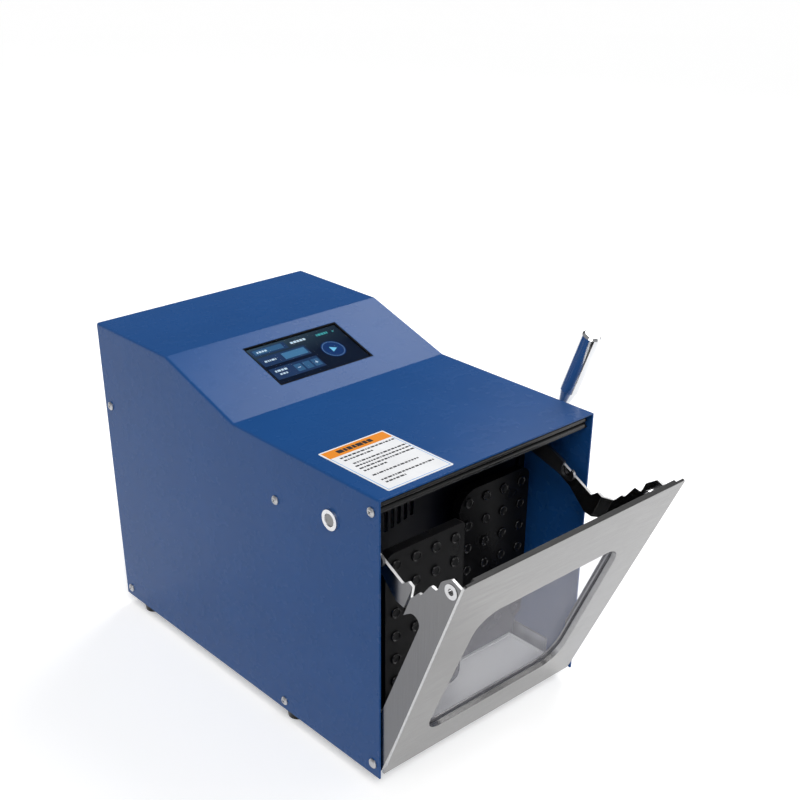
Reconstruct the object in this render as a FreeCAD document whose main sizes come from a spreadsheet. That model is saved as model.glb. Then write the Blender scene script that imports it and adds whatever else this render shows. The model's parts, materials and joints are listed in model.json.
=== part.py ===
import FreeCAD, Part
import math
import os
import re

import Sketcher
from FreeCAD import Placement, Rotation, Vector

# A laboratory paddle blender: two paddles beat a sample bag behind a window door.
# Machine axes: x to the right seen from the front, y to the rear from the front
# edge of the housing, z up from the lower edge of the housing. Lengths in mm.

DRIVING_SIZES = {
    # housing cover, one folded sheet
    "housing_width": 240,
    "housing_depth": 392,
    "front_height": 260,
    "slope_rise": 30.5,
    "slope_start": 182,
    "slope_run": 96,
    "sheet": 1.5,
    "fold_radius": 2,
    "sheet_fit": 0.3,
    # base pan
    "pan_flange": 18,
    "pan_lip_height": 6.5,
    "pan_lip_place": 2.9,
    "pan_corner": 9,
    "pan_notch": 30,
    # rear panel
    "rear_flange": 16,
    "vent_width": 70,
    "vent_height": 4,
    "vent_pitch": 10,
    "vent_rows": 7,
    "vent_inset": 58,
    "vent_drop": 120.5,
    # chamber wall and tray
    "wall_place": 72,
    "wall_flange": 62,
    "louvre_width": 3.8,
    "louvre_pitch": 7.3,
    "louvre_count": 5,
    "louvre_inset": 69,
    "louvre_top_drop": 24,
    "louvre_length": 58,
    "louvre_rise": 1.4,
    "arm_slot_below": 49.6,
    "arm_slot_above": 10.6,
    "arm_slot_gap": 1.2,
    "tray_side_gap": 9,
    "tray_height": 6,
    "tray_rim": 3,
    "tray_dip": 1,
    "tray_front": 5.2,
    "tray_rear_gap": 0.4,
    # feet
    "foot_inset": 14,
    "foot_front": 127,
    "foot_rear_inset": 27,
    "foot_height": 12,
    "foot_radius": 10.5,
    "foot_taper": 1.5,
    "foot_recess": 6,
    "foot_screw_radius": 2.5,
    "foot_head_radius": 4.2,
    "foot_head_height": 3,
    "foot_screw_stand": 8,
    # cover screws
    "screw_head_radius": 4,
    "screw_crown_radius": 2.4,
    "screw_head_height": 2.2,
    "screw_shank_radius": 1.5,
    "screw_shank": 6,
    "screw_top_front_y": 8.6,
    "screw_top_front_drop": 12.4,
    "screw_middle_y": 127,
    "screw_rear_inset": 9.5,
    "screw_high_drop": 49,
    "screw_low_z": 9.4,
    # door seal
    "seal_radius": 2.5,
    "seal_front": 1.9,
    "seal_upper_drop": 5.4,
    "seal_lower_drop": 10.7,
    "seal_left_gap": 1,
    "seal_right_gap": 5.5,
    "holder_gap": 0.7,
    "holder_front": 4.6,
    "holder_rear": 15,
    "holder_drop": 14.5,
    # label
    "label_inset": 15.5,
    "label_width": 67.5,
    "label_front": 7,
    "label_length": 83,
    "label_thickness": 0.3,
    "label_corner": 1.5,
    # touch screen, measured up the slope
    "screen_x": 2,
    "screen_width": 106,
    "screen_height": 58,
    "screen_offset": 3.6,
    "screen_flange": 6,
    "screen_flange_thick": 2,
    "screen_wall": 1.6,
    "screen_recess": 0.5,
    "glass_thick": 1.5,
    "display_thick": 9,
    "board_margin": 3,
    "board_thick": 1.6,
    "screen_fit": 0.2,
    # door
    "hinge_y": 8,
    "hinge_z": 12,
    "door_angle": 22.5,
    "door_face": 10.6,
    "door_thick": 2,
    "door_low": 6.4,
    "door_top_drop": 6.2,
    "door_low_gap": 4.5,
    "door_top_proud": 5,
    "door_corner": 2,
    # rubber strip over the door's upper edge
    "strip_cap": 1,
    "strip_depth": 2.2,
    "strip_height": 6,
    "strip_gap": 6,
    # door window
    "window_left_rim": 36,
    "window_right_rim": 38.5,
    "window_low": 30,
    "window_top_rim": 57.6,
    "window_corner": 22,
    "window_rim": 1.5,
    "rim_gap": 0.4,
    "rim_fit": 0.3,
    "gasket_thick": 3,
    "gasket_margin": 14,
    "pane_thick": 3,
    "pane_margin": 7,
    "frame_thick": 1.5,
    "frame_overhang": 2,
    "frame_screw_radius": 1.6,
    "frame_head_radius": 3,
    "frame_head_height": 1.6,
    "frame_screw_inset": 4,
    # door arms, with drops measured down from the latch stud
    "arm_side_gap": 0.9,
    "arm_joggle": 10.1,
    "arm_sheet": 2.5,
    "arm_tab": 14,
    "arm_tab_low": 14,
    "arm_tab_drop": 27.6,
    "joggle_start": 31.5,
    "joggle_end": 38.5,
    "arm_back": 14.4,
    "arm_back_start": 24,
    "arm_back_end": 36,
    "arm_web_drop": 33.6,
    "arm_waist_y": 33,
    "arm_waist_drop": 61,
    "arm_neck_y": 46.4,
    "arm_neck_drop": 64,
    "arm_bend_y": 70.4,
    "arm_bend_drop": 54.2,
    "arm_length": 94,
    "arm_end_low_drop": 51.6,
    "arm_end_high_drop": 40,
    "step_run": 4,
    "step_one_y": 44,
    "step_one_low_drop": 44.6,
    "step_one_high_drop": 37.6,
    "step_two_y": 27,
    "step_two_low_drop": 38.6,
    "step_two_high_drop": 28.2,
    "step_three_y": 20,
    "step_three_low_drop": 27.2,
    "step_three_high_drop": 12.2,
    "step_four_y": 13.4,
    "step_four_low_drop": 11.2,
    "step_four_high_drop": 1,
    "arm_top_y": 6.4,
    "arm_top_rise": 9.4,
    "arm_foot_radius": 8.4,
    "arm_round": 1.8,
    "arm_web_round": 7,
    # hinge pins
    "pin_radius": 3,
    "pin_head_radius": 4.4,
    "pin_head_height": 2,
    "pin_past": 1.6,
    "running_fit": 0.05,
    # latch studs
    "stud_y": 2.4,
    "stud_drop": 22.2,
    "stud_radius": 4,
    "stud_head_radius": 6.2,
    "stud_bore": 2.8,
    "stud_proud": 0.5,
    "stud_past": 0.4,
    # lock shaft, its bushes and cranks
    "shaft_inset": 16,
    "shaft_drop": 38,
    "shaft_radius": 5.5,
    "shaft_proud": 1.5,
    "shaft_chamfer": 0.8,
    "bush_flange_radius": 8.75,
    "bush_flange": 2.2,
    "bush_radius": 7,
    "bush_past": 3.5,
    "crank_sheet": 2.7,
    "crank_left_gap": 1.6,
    "crank_right_gap": 0.5,
    "crank_hub_radius": 10,
    "crank_past": 3.8,
    "crank_end_radius": 5.8,
    "crank_drop": 21.2,
    "throat_fit": 0.4,
    "throat_lead": 1,
    "collar_radius": 9,
    "collar_length": 8,
    # lock lever, with lengths measured out from the cover's side
    "lever_lean": 20,
    "lever_out": 15,
    "hub_radius": 12,
    "hub_gap": 3,
    "hub_length": 20,
    "hub_cap": 4,
    "hub_chamfer": 1.2,
    "lever_rod_radius": 4.5,
    "lever_rod_gap": 0.7,
    "lever_rod_end": 40,
    "grip_start": 32,
    "grip_cone_end": 45,
    "grip_tip": 104,
    "grip_low_radius": 5.4,
    "grip_radius": 8.25,
    "grip_chamfer": 2,
    "set_screw_radius": 2.5,
    # paddles
    "paddle_inner": 14.5,
    "paddle_side_gap": 19.5,
    "paddle_bottom": 44,
    "paddle_top_drop": 61,
    "paddle_thick": 9,
    "paddle_skin": 3,
    "paddle_front": 15,
    "paddle_stroke": 35,
    "paddle_corner": 10,
    "paddle_round_corner": 20,
    "paddle_square_corner": 3,
    "bump_columns": 4,
    "bump_rows": 7,
    "bump_inset_x": 10.75,
    "bump_inset_z": 11.5,
    "bump_radius": 4.3,
    "bump_height": 1,
    "bump_slant": 35,
    "boss_radius": 14,
    # push rods and their bushes
    "rod_radius": 7,
    "rod_seat": 5,
    "rod_length": 115,
    "rod_bush_radius": 11,
    "rod_bush_flange_radius": 17,
    "rod_bush_flange": 2.5,
    "rod_bush_length": 22,
    # drive
    "case_gap": 24,
    "case_length": 109,
    "case_side": 26.5,
    "case_below": 37.5,
    "case_above": 38.5,
    "case_corner": 8,
    "rod_end_gap": 5,
    "bore_fit": 1,
    "bracket_sheet": 3,
    "bracket_gap": 1,
    "bracket_inset_front": 4,
    "bracket_inset_rear": 5,
    "bracket_foot_gap": 1.5,
    "motor_radius": 44,
    "motor_band": 3,
    "motor_groove": 1.5,
    "motor_rear_gap": 72,
    "motor_collar_radius": 36,
    "motor_collar": 10,
    "cowl_overlap": 10,
    "cowl_hub_radius": 10,
    "cowl_slot_end": 36,
    "cowl_length": 34,
    "cowl_slots": 12,
    "cowl_slot_width": 4,
    # electronics
    "box_front_gap": 20,
    "supply_inset": 12,
    "supply_width": 42,
    "supply_rear_gap": 47,
    "supply_height": 78,
    "driver_inset": 14,
    "driver_width": 40,
    "driver_rear_gap": 62,
    "driver_height": 60,
    "slot_margin": 8,
    "slot_width": 3,
    "slot_count": 8,
    # inlet and power switch
    "inlet_inset": 42,
    "inlet_z": 44,
    "inlet_half_width": 14,
    "inlet_half_height": 11,
    "inlet_depth": 22,
    "inlet_flange_half_width": 25,
    "inlet_flange": 2.4,
    "inlet_corner": 3,
    "inlet_wall": 2.5,
    "inlet_pin_width": 2,
    "inlet_pin_height": 5,
    "inlet_pin_pitch": 7,
    "inlet_screw_x": 20,
    "inlet_screw_radius": 1.5,
    "inlet_screw_head_radius": 3,
    "inlet_screw_head_height": 1.8,
    "inlet_screw_length": 8,
    "switch_gap": 38,
    "switch_half_width": 6.5,
    "switch_half_height": 9.5,
    "switch_wall": 1.5,
    "switch_flange": 1.8,
    "switch_margin": 2,
    "switch_depth": 16,
    "rocker_fit": 0.4,
    "rocker_end_y": 2,
    "rocker_end_z": 7.3,
    "rocker_valley": 0.8,
    "rocker_back": 4,
    "rocker_back_z": 5,
    "rocker_tilt": 8,
    # one overrun serves every cut
    "overrun": 5,
}

WORKED_SIZES = {
    "half_width": "housing_width / 2",
    "inner_half_width": "half_width - sheet",
    "pan_half_width": "inner_half_width - sheet_fit",
    "rear_height": "front_height + slope_rise",
    "slope_end": "slope_start + slope_run",
    "slope_angle": "atan(slope_rise / slope_run)",
    "slope_length": "sqrt(slope_rise^2 + slope_run^2)",
    "inner_bend": "sheet * tan(slope_angle / 2)",
    "rear_face": "housing_depth",
    "pan_lip_width": "housing_width - 2 * pan_corner",
    "vent_place": "half_width - vent_inset",
    "vent_level": "rear_height - vent_drop",
    "louvre_place": "louvre_inset - half_width",
    "louvre_high": "front_height - louvre_top_drop",
    "louvre_low": "louvre_high - louvre_length",
    "arm_slot_low": "stud_z - arm_slot_below",
    "arm_slot_high": "stud_z - arm_slot_above",
    "tray_width": "housing_width - 2 * tray_side_gap",
    "foot_x": "half_width - foot_inset",
    "foot_rear": "housing_depth - foot_rear_inset",
    "screw_top_front_z": "front_height - screw_top_front_drop",
    "screw_rear_y": "housing_depth - screw_rear_inset",
    "screw_high_z": "front_height - screw_high_drop",
    "seal_upper_z": "front_height - seal_upper_drop",
    "seal_lower_z": "front_height - seal_lower_drop",
    "seal_left": "inner_half_width - seal_left_gap",
    "seal_right": "inner_half_width - seal_right_gap",
    "holder_width": "2 * (inner_half_width - holder_gap)",
    "holder_bottom": "front_height - holder_drop",
    "label_left": "half_width - label_inset",
    "label_right": "label_left - label_width",
    "label_rear": "label_front + label_length",
    "screen_low": "(slope_length - screen_height) / 2 + screen_offset",
    "screen_top": "screen_low + screen_height",
    "glass_top": "-(screen_recess)",
    "display_top": "-(screen_recess + glass_thick)",
    "board_top": "-(screen_recess + glass_thick + display_thick)",
    "board_width": "screen_width + 2 * board_margin",
    "board_height": "screen_height + 2 * board_margin",
    "door_back": "door_face - door_thick",
    "door_rise": "front_height - hinge_z - door_top_drop",
    "door_low_width": "housing_width - 2 * door_low_gap",
    "door_top_width": "housing_width + 2 * door_top_proud",
    "sheet_rise": "door_rise - strip_cap",
    "strip_width": "housing_width - 2 * strip_gap",
    "window_left": "half_width - window_left_rim",
    "window_right": "half_width - window_right_rim",
    "window_high": "door_rise - window_top_rim",
    "gasket_back": "door_back - gasket_thick",
    "pane_back": "gasket_back - pane_thick",
    "window_x": "(window_right - window_left) / 2",
    "window_z": "(window_low + window_high) / 2",
    "arm_outer_x": "inner_half_width - arm_side_gap",
    "arm_inner_x": "arm_outer_x - arm_joggle",
    "stud_z": "door_rise - stud_drop",
    "arm_tab_high": "stud_z - arm_tab_drop",
    "arm_web": "stud_z - arm_web_drop",
    "arm_waist_z": "stud_z - arm_waist_drop",
    "arm_neck_z": "stud_z - arm_neck_drop",
    "arm_bend_z": "stud_z - arm_bend_drop",
    "arm_end_low": "stud_z - arm_end_low_drop",
    "arm_end_high": "stud_z - arm_end_high_drop",
    "step_one_low": "stud_z - step_one_low_drop",
    "step_one_high": "stud_z - step_one_high_drop",
    "step_two_low": "stud_z - step_two_low_drop",
    "step_two_high": "stud_z - step_two_high_drop",
    "step_three_low": "stud_z - step_three_low_drop",
    "step_three_high": "stud_z - step_three_high_drop",
    "step_four_low": "stud_z - step_four_low_drop",
    "step_four_high": "stud_z - step_four_high_drop",
    "arm_top": "stud_z + arm_top_rise",
    "pin_end_x": "arm_outer_x - arm_sheet - pin_past",
    "shaft_y": "wall_place - shaft_inset",
    "shaft_z": "front_height - shaft_drop",
    "hinge_to_shaft_y": "shaft_y - hinge_y",
    "hinge_to_shaft_z": "shaft_z - hinge_z",
    "stud_reach": "sqrt((hinge_to_shaft_y - stud_y)^2 + (hinge_to_shaft_z - stud_z)^2)",
    "crank_reach": "stud_reach + crank_past",
    "shaft_left_end": "half_width + shaft_proud",
    "bush_end_x": "inner_half_width - bush_past",
    "crank_left_x": "arm_outer_x - arm_sheet - crank_left_gap",
    "crank_right_x": "arm_inner_x - crank_right_gap - crank_sheet",
    "lever_x": "half_width + lever_out",
    "hub_start": "half_width + hub_gap",
    "hub_end": "hub_start + hub_length",
    "shaft_right_end": "hub_end - hub_cap",
    "lever_rod_start": "shaft_radius + lever_rod_gap",
    "paddle_outer": "half_width - paddle_side_gap",
    "paddle_width": "paddle_outer - paddle_inner",
    "paddle_x": "(paddle_inner + paddle_outer) / 2",
    "paddle_top": "front_height - paddle_top_drop",
    "paddle_left_y": "paddle_front",
    "paddle_right_y": "paddle_front + paddle_stroke",
    "rod_level": "(paddle_bottom + paddle_top) / 2",
    "bump_pitch_x": "(paddle_width - 2 * bump_inset_x) / (bump_columns - 1)",
    "bump_pitch_z": "(paddle_top - paddle_bottom - 2 * bump_inset_z) / (bump_rows - 1)",
    "case_front": "wall_place + case_gap",
    "case_rear": "case_front + case_length",
    "case_half_width": "paddle_x + case_side",
    "case_bottom": "rod_level - case_below",
    "case_top": "rod_level + case_above",
    "case_middle": "(case_bottom + case_top) / 2",
    "case_bore_end": "paddle_right_y + paddle_thick - rod_seat + rod_length + rod_end_gap",
    "bracket_half_width": "case_half_width + bracket_sheet + bracket_gap",
    "bracket_foot_end": "foot_x - foot_screw_radius - bracket_foot_gap",
    "bracket_front": "case_front + bracket_inset_front",
    "bracket_rear": "case_rear - bracket_inset_rear",
    "motor_front": "case_rear + motor_collar",
    "motor_rear": "housing_depth - motor_rear_gap",
    "cowl_inner_radius": "motor_radius + sheet_fit",
    "cowl_rear": "motor_rear - cowl_overlap + cowl_length",
    "supply_left": "half_width - supply_inset",
    "supply_rear": "housing_depth - supply_rear_gap",
    "box_front": "case_rear + box_front_gap",
    "driver_left": "half_width - driver_inset - driver_width",
    "driver_rear": "housing_depth - driver_rear_gap",
    "inlet_x": "half_width - inlet_inset",
    "switch_x": "inlet_x - switch_gap",
    "rocker_pivot_y": "rear_face",
    # the row's origin is the middle of the part's box, on the bench
    "door_reach": "door_face * cos(door_angle) + door_rise * sin(door_angle) - hinge_y",
    "rear_reach": "rear_face + inlet_flange + inlet_screw_head_height",
    "lever_outer_x": "lever_x + grip_radius",
    "frame_x": "(door_top_width / 2 - lever_outer_x) / 2",
    "frame_y": "(door_reach - rear_reach) / 2",
    "frame_z": "foot_height",
}

WORD = re.compile(r"[a-z][a-z_]+")
AXES = {"x": Vector(1, 0, 0), "y": Vector(0, 1, 0), "z": Vector(0, 0, 1)}
# how nearly an edge runs along an axis
ALONG = 0.999999

document = FreeCAD.newDocument("paddle_blender")
size_sheet = document.addObject("Spreadsheet::Sheet", "Sizes")
for row, (name, size) in enumerate(DRIVING_SIZES.items(), start=1):
    size_sheet.set(f"A{row}", name)
    size_sheet.set(f"B{row}", str(size))
    size_sheet.setAlias(f"B{row}", name)
document.recompute()

parts = []


def formula(text):
    """Write a formula of named sizes as the sheet's cells."""

    def cell(match):
        word = match.group(0)
        if word in WORKED_SIZES:
            return f"({formula(WORKED_SIZES[word])})"
        if word in DRIVING_SIZES:
            return f"Sizes.{word}"
        return word

    return WORD.sub(cell, str(text))


def bind(thing, name, text):
    thing.setExpression(name, formula(text))


def count_of(name):
    return int(size_sheet.get(name))


# Homes are the frames that pieces are modelled in: x, y, z and a tilt about x.
HOMES = {
    "machine": ("0", "0", "0", None),
    "door": ("0", "hinge_y", "hinge_z", "door_angle"),
    "crank": ("0", "shaft_y", "shaft_z", "crank_drop"),
    "lever": ("0", "shaft_y", "shaft_z", "lever_lean"),
    "slope": ("screen_x", "slope_start", "front_height", "slope_angle"),
    "rocker": ("switch_x", "rocker_pivot_y", "inlet_z", "rocker_tilt"),
}


def send_home(thing, home="machine", x="0", y="0", z="0"):
    """Place a piece in its home, moved by x, y and z along the home's own axes."""
    home_x, home_y, home_z, tilt = HOMES[home]
    bind(thing, "Placement.Base.x", f"frame_x + {home_x} + ({x})")
    if tilt is None:
        bind(thing, "Placement.Base.y", f"frame_y + {home_y} + ({y})")
        bind(thing, "Placement.Base.z", f"frame_z + {home_z} + ({z})")
        return
    thing.Placement = Placement(Vector(), Rotation(Vector(1, 0, 0), 1))
    bind(thing, "Placement.Base.y", f"frame_y + {home_y} + ({y}) * cos({tilt}) - ({z}) * sin({tilt})")
    bind(thing, "Placement.Base.z", f"frame_z + {home_z} + ({y}) * sin({tilt}) + ({z}) * cos({tilt})")
    bind(thing, "Placement.Rotation.Angle", tilt)


def keep(thing, label, home="machine", x="0", y="0", z="0"):
    """Name a finished sub-part, place it and list it for export."""
    thing.Label = label
    send_home(thing, home, x, y, z)
    parts.append(thing)
    return thing


def new_body(name):
    return document.addObject("PartDesign::Body", name)


def new_sketch(body, plane, lift="0"):
    """Start a sketch on one of the body's own origin planes, lifted along its normal."""
    sketch = body.newObject("Sketcher::SketchObject", "outline")
    support = [feature for feature in body.Origin.OriginFeatures if feature.Role == plane][0]
    sketch.AttachmentSupport = [(support, "")]
    sketch.MapMode = "FlatFace"
    bind(sketch, "AttachmentOffset.Base.z", lift)
    return sketch


def pin_point(sketch, geometry, end, u, v, spot):
    for kind, text, now in (("DistanceX", u, spot.x), ("DistanceY", v, spot.y)):
        index = sketch.addConstraint(Sketcher.Constraint(kind, -1, 1, geometry, end, now))
        bind(sketch, f"Constraints[{index}]", text)


def draw_outline(sketch, points):
    """Draw a closed outline of straight edges through corners given as formulas."""
    count = len(points)
    first = sketch.GeometryCount
    turns = [math.tau * i / count for i in range(count)]
    spots = [Vector(math.cos(turn), math.sin(turn), 0) for turn in turns]
    for i in range(count):
        sketch.addGeometry(Part.LineSegment(spots[i], spots[(i + 1) % count]))
    for i in range(count):
        following = first + (i + 1) % count
        sketch.addConstraint(Sketcher.Constraint("Coincident", first + i, 2, following, 1))
    for i, (u, v) in enumerate(points):
        pin_point(sketch, first + i, 1, u, v, spots[i])


def draw_box(sketch, u_low, u_high, v_low, v_high):
    draw_outline(sketch, [(u_low, v_low), (u_high, v_low), (u_high, v_high), (u_low, v_high)])


def draw_circle(sketch, u, v, radius):
    spot = Vector(1, 1, 0)
    circle = sketch.addGeometry(Part.Circle(spot, Vector(0, 0, 1), 1))
    pin_point(sketch, circle, 3, u, v, spot)
    index = sketch.addConstraint(Sketcher.Constraint("Radius", circle, 1))
    bind(sketch, f"Constraints[{index}]", radius)


def extrude(body, sketch, length, kind="PartDesign::Pad", side="One side", backwards=False, taper=None):
    """Pad or pocket a sketch by a bound length."""
    feature = body.newObject(kind, "step")
    feature.Profile = sketch
    feature.SideType = side
    feature.Reversed = backwards
    bind(feature, "Length", length)
    if taper is not None:
        bind(feature, "TaperAngle", taper)
    document.recompute()
    return feature


def cut_through(body, sketch):
    """Cut a sketch through the whole body, both ways."""
    before = body.Shape.Volume
    feature = body.newObject("PartDesign::Pocket", "cut")
    feature.Profile = sketch
    feature.Type = "ThroughAll"
    feature.Midplane = True
    document.recompute()
    if body.Shape.Volume >= before:
        raise ValueError(f"a cut in {body.Label} removed nothing")
    return feature


def cut_depth(body, sketch, depth, backwards=False):
    before = body.Shape.Volume
    feature = extrude(body, sketch, depth, "PartDesign::Pocket", backwards=backwards)
    if body.Shape.Volume >= before:
        raise ValueError(f"a cut in {body.Label} removed nothing")
    return feature


def spin(body, sketch, axis="H_Axis"):
    """Revolve a sketch about its own horizontal or vertical axis."""
    feature = body.newObject("PartDesign::Revolution", "turned")
    feature.Profile = sketch
    feature.ReferenceAxis = (sketch, [axis])
    feature.Angle = 360
    document.recompute()
    return feature


def along(axis):
    """A test for straight edges that run along an axis."""

    def test(edge):
        return isinstance(edge.Curve, Part.Line) and abs(edge.Curve.Direction.dot(AXES[axis])) > ALONG

    return test


def front_to_rear(edge):
    """Tell whether a straight edge runs from front to rear, level or on a slope."""
    direction = edge.Curve.Direction
    return abs(direction.x) < 1 - ALONG and abs(direction.z) < ALONG


def round_edges(body, radius, wanted, order=None, count=None):
    """Fillet the wanted edges: all of them, or the first ones in an order of their midpoints."""
    base = body.Tip
    edges = []
    for number, edge in enumerate(base.Shape.Edges, start=1):
        if wanted(edge):
            edges.append((f"Edge{number}", edge.CenterOfMass))
    if order is not None:
        edges.sort(key=lambda named: order(named[1]))
    feature = body.newObject("PartDesign::Fillet", "rounded")
    feature.Base = (base, [name for name, spot in edges[:count]])
    bind(feature, "Radius", radius)
    document.recompute()
    if "Invalid" in feature.State:
        raise ValueError(f"rounding {radius} failed in {body.Label}")
    return feature


def nearest_middle(body):
    """An order that starts with the edges nearest the middle of the body."""
    middle = body.Tip.Shape.BoundBox.Center
    return lambda spot: (spot - middle).Length


def round_bar(axis, radius, start, length, u="0", v="0"):
    """A plain round bar along x, y or z, whose centre line passes through u and v."""
    bar = document.addObject("Part::Cylinder", "bar")
    bind(bar, "Radius", radius)
    bind(bar, "Height", length)
    if axis == "x":
        bar.Placement = Placement(Vector(), Rotation(AXES["y"], 90))
        spots = (start, u, v)
    elif axis == "y":
        bar.Placement = Placement(Vector(), Rotation(AXES["x"], -90))
        spots = (u, start, v)
    else:
        spots = (u, v, start)
    for letter, text in zip("xyz", spots):
        bind(bar, f"Placement.Base.{letter}", text)
    return bar


def joined(kind, pieces):
    """Fuse, cut or gather plain pieces. The first one is the base of a cut."""
    whole = document.addObject(kind, "joined")
    if kind == "Part::Cut":
        whole.Base, whole.Tool = pieces
    elif kind == "Part::Compound":
        whole.Links = pieces
    else:
        whole.Shapes = pieces
    document.recompute()
    return whole


# The pieces of the housing


SIDES = {"left": "-1", "right": "1"}


def side_screw_places():
    """The screws of one side: y and z."""
    return [
        ("screw_top_front_y", "screw_top_front_z"),
        ("screw_middle_y", "screw_high_z"),
        ("screw_rear_y", "screw_high_z"),
        ("screw_middle_y", "screw_low_z"),
        ("screw_rear_y", "screw_low_z"),
    ]


def drill_side_screws(body, places):
    sketch = new_sketch(body, "YZ_Plane")
    for y, z in places:
        draw_circle(sketch, y, z, "screw_shank_radius")
    cut_through(body, sketch)


def cover():
    """One folded sheet makes both sides, the top and the slope. Front, rear and bottom are open."""
    body = new_body("cover_body")
    outer = new_sketch(body, "YZ_Plane")
    draw_outline(outer, [
        ("0", "0"),
        ("housing_depth", "0"),
        ("housing_depth", "rear_height"),
        ("slope_end", "rear_height"),
        ("slope_start", "front_height"),
        ("0", "front_height"),
    ])
    extrude(body, outer, "housing_width", side="Symmetric")
    round_edges(body, "fold_radius", front_to_rear, lambda spot: -spot.z, 6)
    inner = new_sketch(body, "YZ_Plane")
    draw_outline(inner, [
        ("-overrun", "-overrun"),
        ("housing_depth + overrun", "-overrun"),
        ("housing_depth + overrun", "rear_height - sheet"),
        ("slope_end + inner_bend", "rear_height - sheet"),
        ("slope_start + inner_bend", "front_height - sheet"),
        ("-overrun", "front_height - sheet"),
    ])
    extrude(body, inner, "2 * inner_half_width", "PartDesign::Pocket", "Symmetric")
    sides = new_sketch(body, "YZ_Plane")
    draw_circle(sides, "shaft_y", "shaft_z", "bush_radius")
    draw_circle(sides, "hinge_y", "hinge_z", "pin_radius")
    cut_through(body, sides)
    drill_side_screws(body, side_screw_places())
    window = new_sketch(body, "XY_Plane")
    window.AttachmentOffset = Placement(Vector(), Rotation(AXES["x"], 1))
    bind(window, "AttachmentOffset.Base.x", "screen_x")
    bind(window, "AttachmentOffset.Base.y", "slope_start")
    bind(window, "AttachmentOffset.Base.z", "front_height")
    bind(window, "AttachmentOffset.Rotation.Angle", "slope_angle")
    draw_box(window, "-screen_width / 2", "screen_width / 2", "screen_low", "screen_top")
    extrude(body, window, "2 * overrun", "PartDesign::Pocket", "Symmetric")
    keep(body, "cover")


def base_pan():
    """A pan inside the cover's lower edge, with side flanges and a lip that stops the open door."""
    body = new_body("pan_body")
    section = new_sketch(body, "XZ_Plane", "-pan_lip_place")
    draw_outline(section, [
        ("-pan_half_width", "0"),
        ("pan_half_width", "0"),
        ("pan_half_width", "pan_flange"),
        ("pan_half_width - sheet", "pan_flange"),
        ("pan_half_width - sheet", "sheet"),
        ("sheet - pan_half_width", "sheet"),
        ("sheet - pan_half_width", "pan_flange"),
        ("-pan_half_width", "pan_flange"),
    ])
    extrude(body, section, "housing_depth - sheet - sheet_fit - pan_lip_place", backwards=True)
    notches = new_sketch(body, "XY_Plane")
    for low, high in (("-half_width", "-pan_lip_width / 2"), ("pan_lip_width / 2", "half_width")):
        draw_box(notches, low, high, "0", "pan_notch")
    cut_through(body, notches)
    lip = new_sketch(body, "YZ_Plane")
    draw_box(lip, "pan_lip_place", "pan_lip_place + sheet", "0", "pan_lip_height")
    extrude(body, lip, "pan_lip_width", side="Symmetric")
    holes = new_sketch(body, "XY_Plane")
    for x in ("-foot_x", "foot_x"):
        for y in ("foot_front", "foot_rear"):
            draw_circle(holes, x, y, "foot_screw_radius")
    cut_through(body, holes)
    drill_side_screws(body, side_screw_places()[3:])
    keep(body, "base_pan")


def rear_panel():
    """The rear wall, with side flanges, vent slots and the inlet's and switch's openings."""
    body = new_body("rear_body")
    section = new_sketch(body, "XY_Plane", "pan_flange + sheet_fit")
    inner = "housing_depth - sheet"
    draw_outline(section, [
        ("-pan_half_width", "housing_depth"),
        ("-pan_half_width", f"{inner} - rear_flange"),
        ("sheet - pan_half_width", f"{inner} - rear_flange"),
        ("sheet - pan_half_width", inner),
        ("pan_half_width - sheet", inner),
        ("pan_half_width - sheet", f"{inner} - rear_flange"),
        ("pan_half_width", f"{inner} - rear_flange"),
        ("pan_half_width", "housing_depth"),
    ])
    extrude(body, section, "rear_height - sheet - 2 * sheet_fit - pan_flange")
    foot = new_sketch(body, "XZ_Plane", "-(housing_depth - sheet)")
    draw_box(foot, "-pan_half_width", "pan_half_width", "sheet_fit", "pan_flange + sheet_fit + sheet")
    extrude(body, foot, "sheet", backwards=True)
    openings = new_sketch(body, "XZ_Plane")
    draw_box(openings, "inlet_x - inlet_half_width", "inlet_x + inlet_half_width",
             "inlet_z - inlet_half_height", "inlet_z + inlet_half_height")
    draw_box(openings, "switch_x - switch_half_width", "switch_x + switch_half_width",
             "inlet_z - switch_half_height", "inlet_z + switch_half_height")
    for sign in SIDES.values():
        draw_circle(openings, f"inlet_x + {sign} * inlet_screw_x", "inlet_z", "inlet_screw_radius")
    for x in ("-vent_place", "vent_place"):
        for number in range(count_of("vent_rows")):
            low = f"vent_level + {number} * vent_pitch"
            draw_box(openings, f"{x} - vent_width / 2", f"{x} + vent_width / 2",
                     low, f"{low} + vent_height")
    cut_through(body, openings)
    drill_side_screws(body, side_screw_places()[2:3])
    keep(body, "rear_panel")


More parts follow.
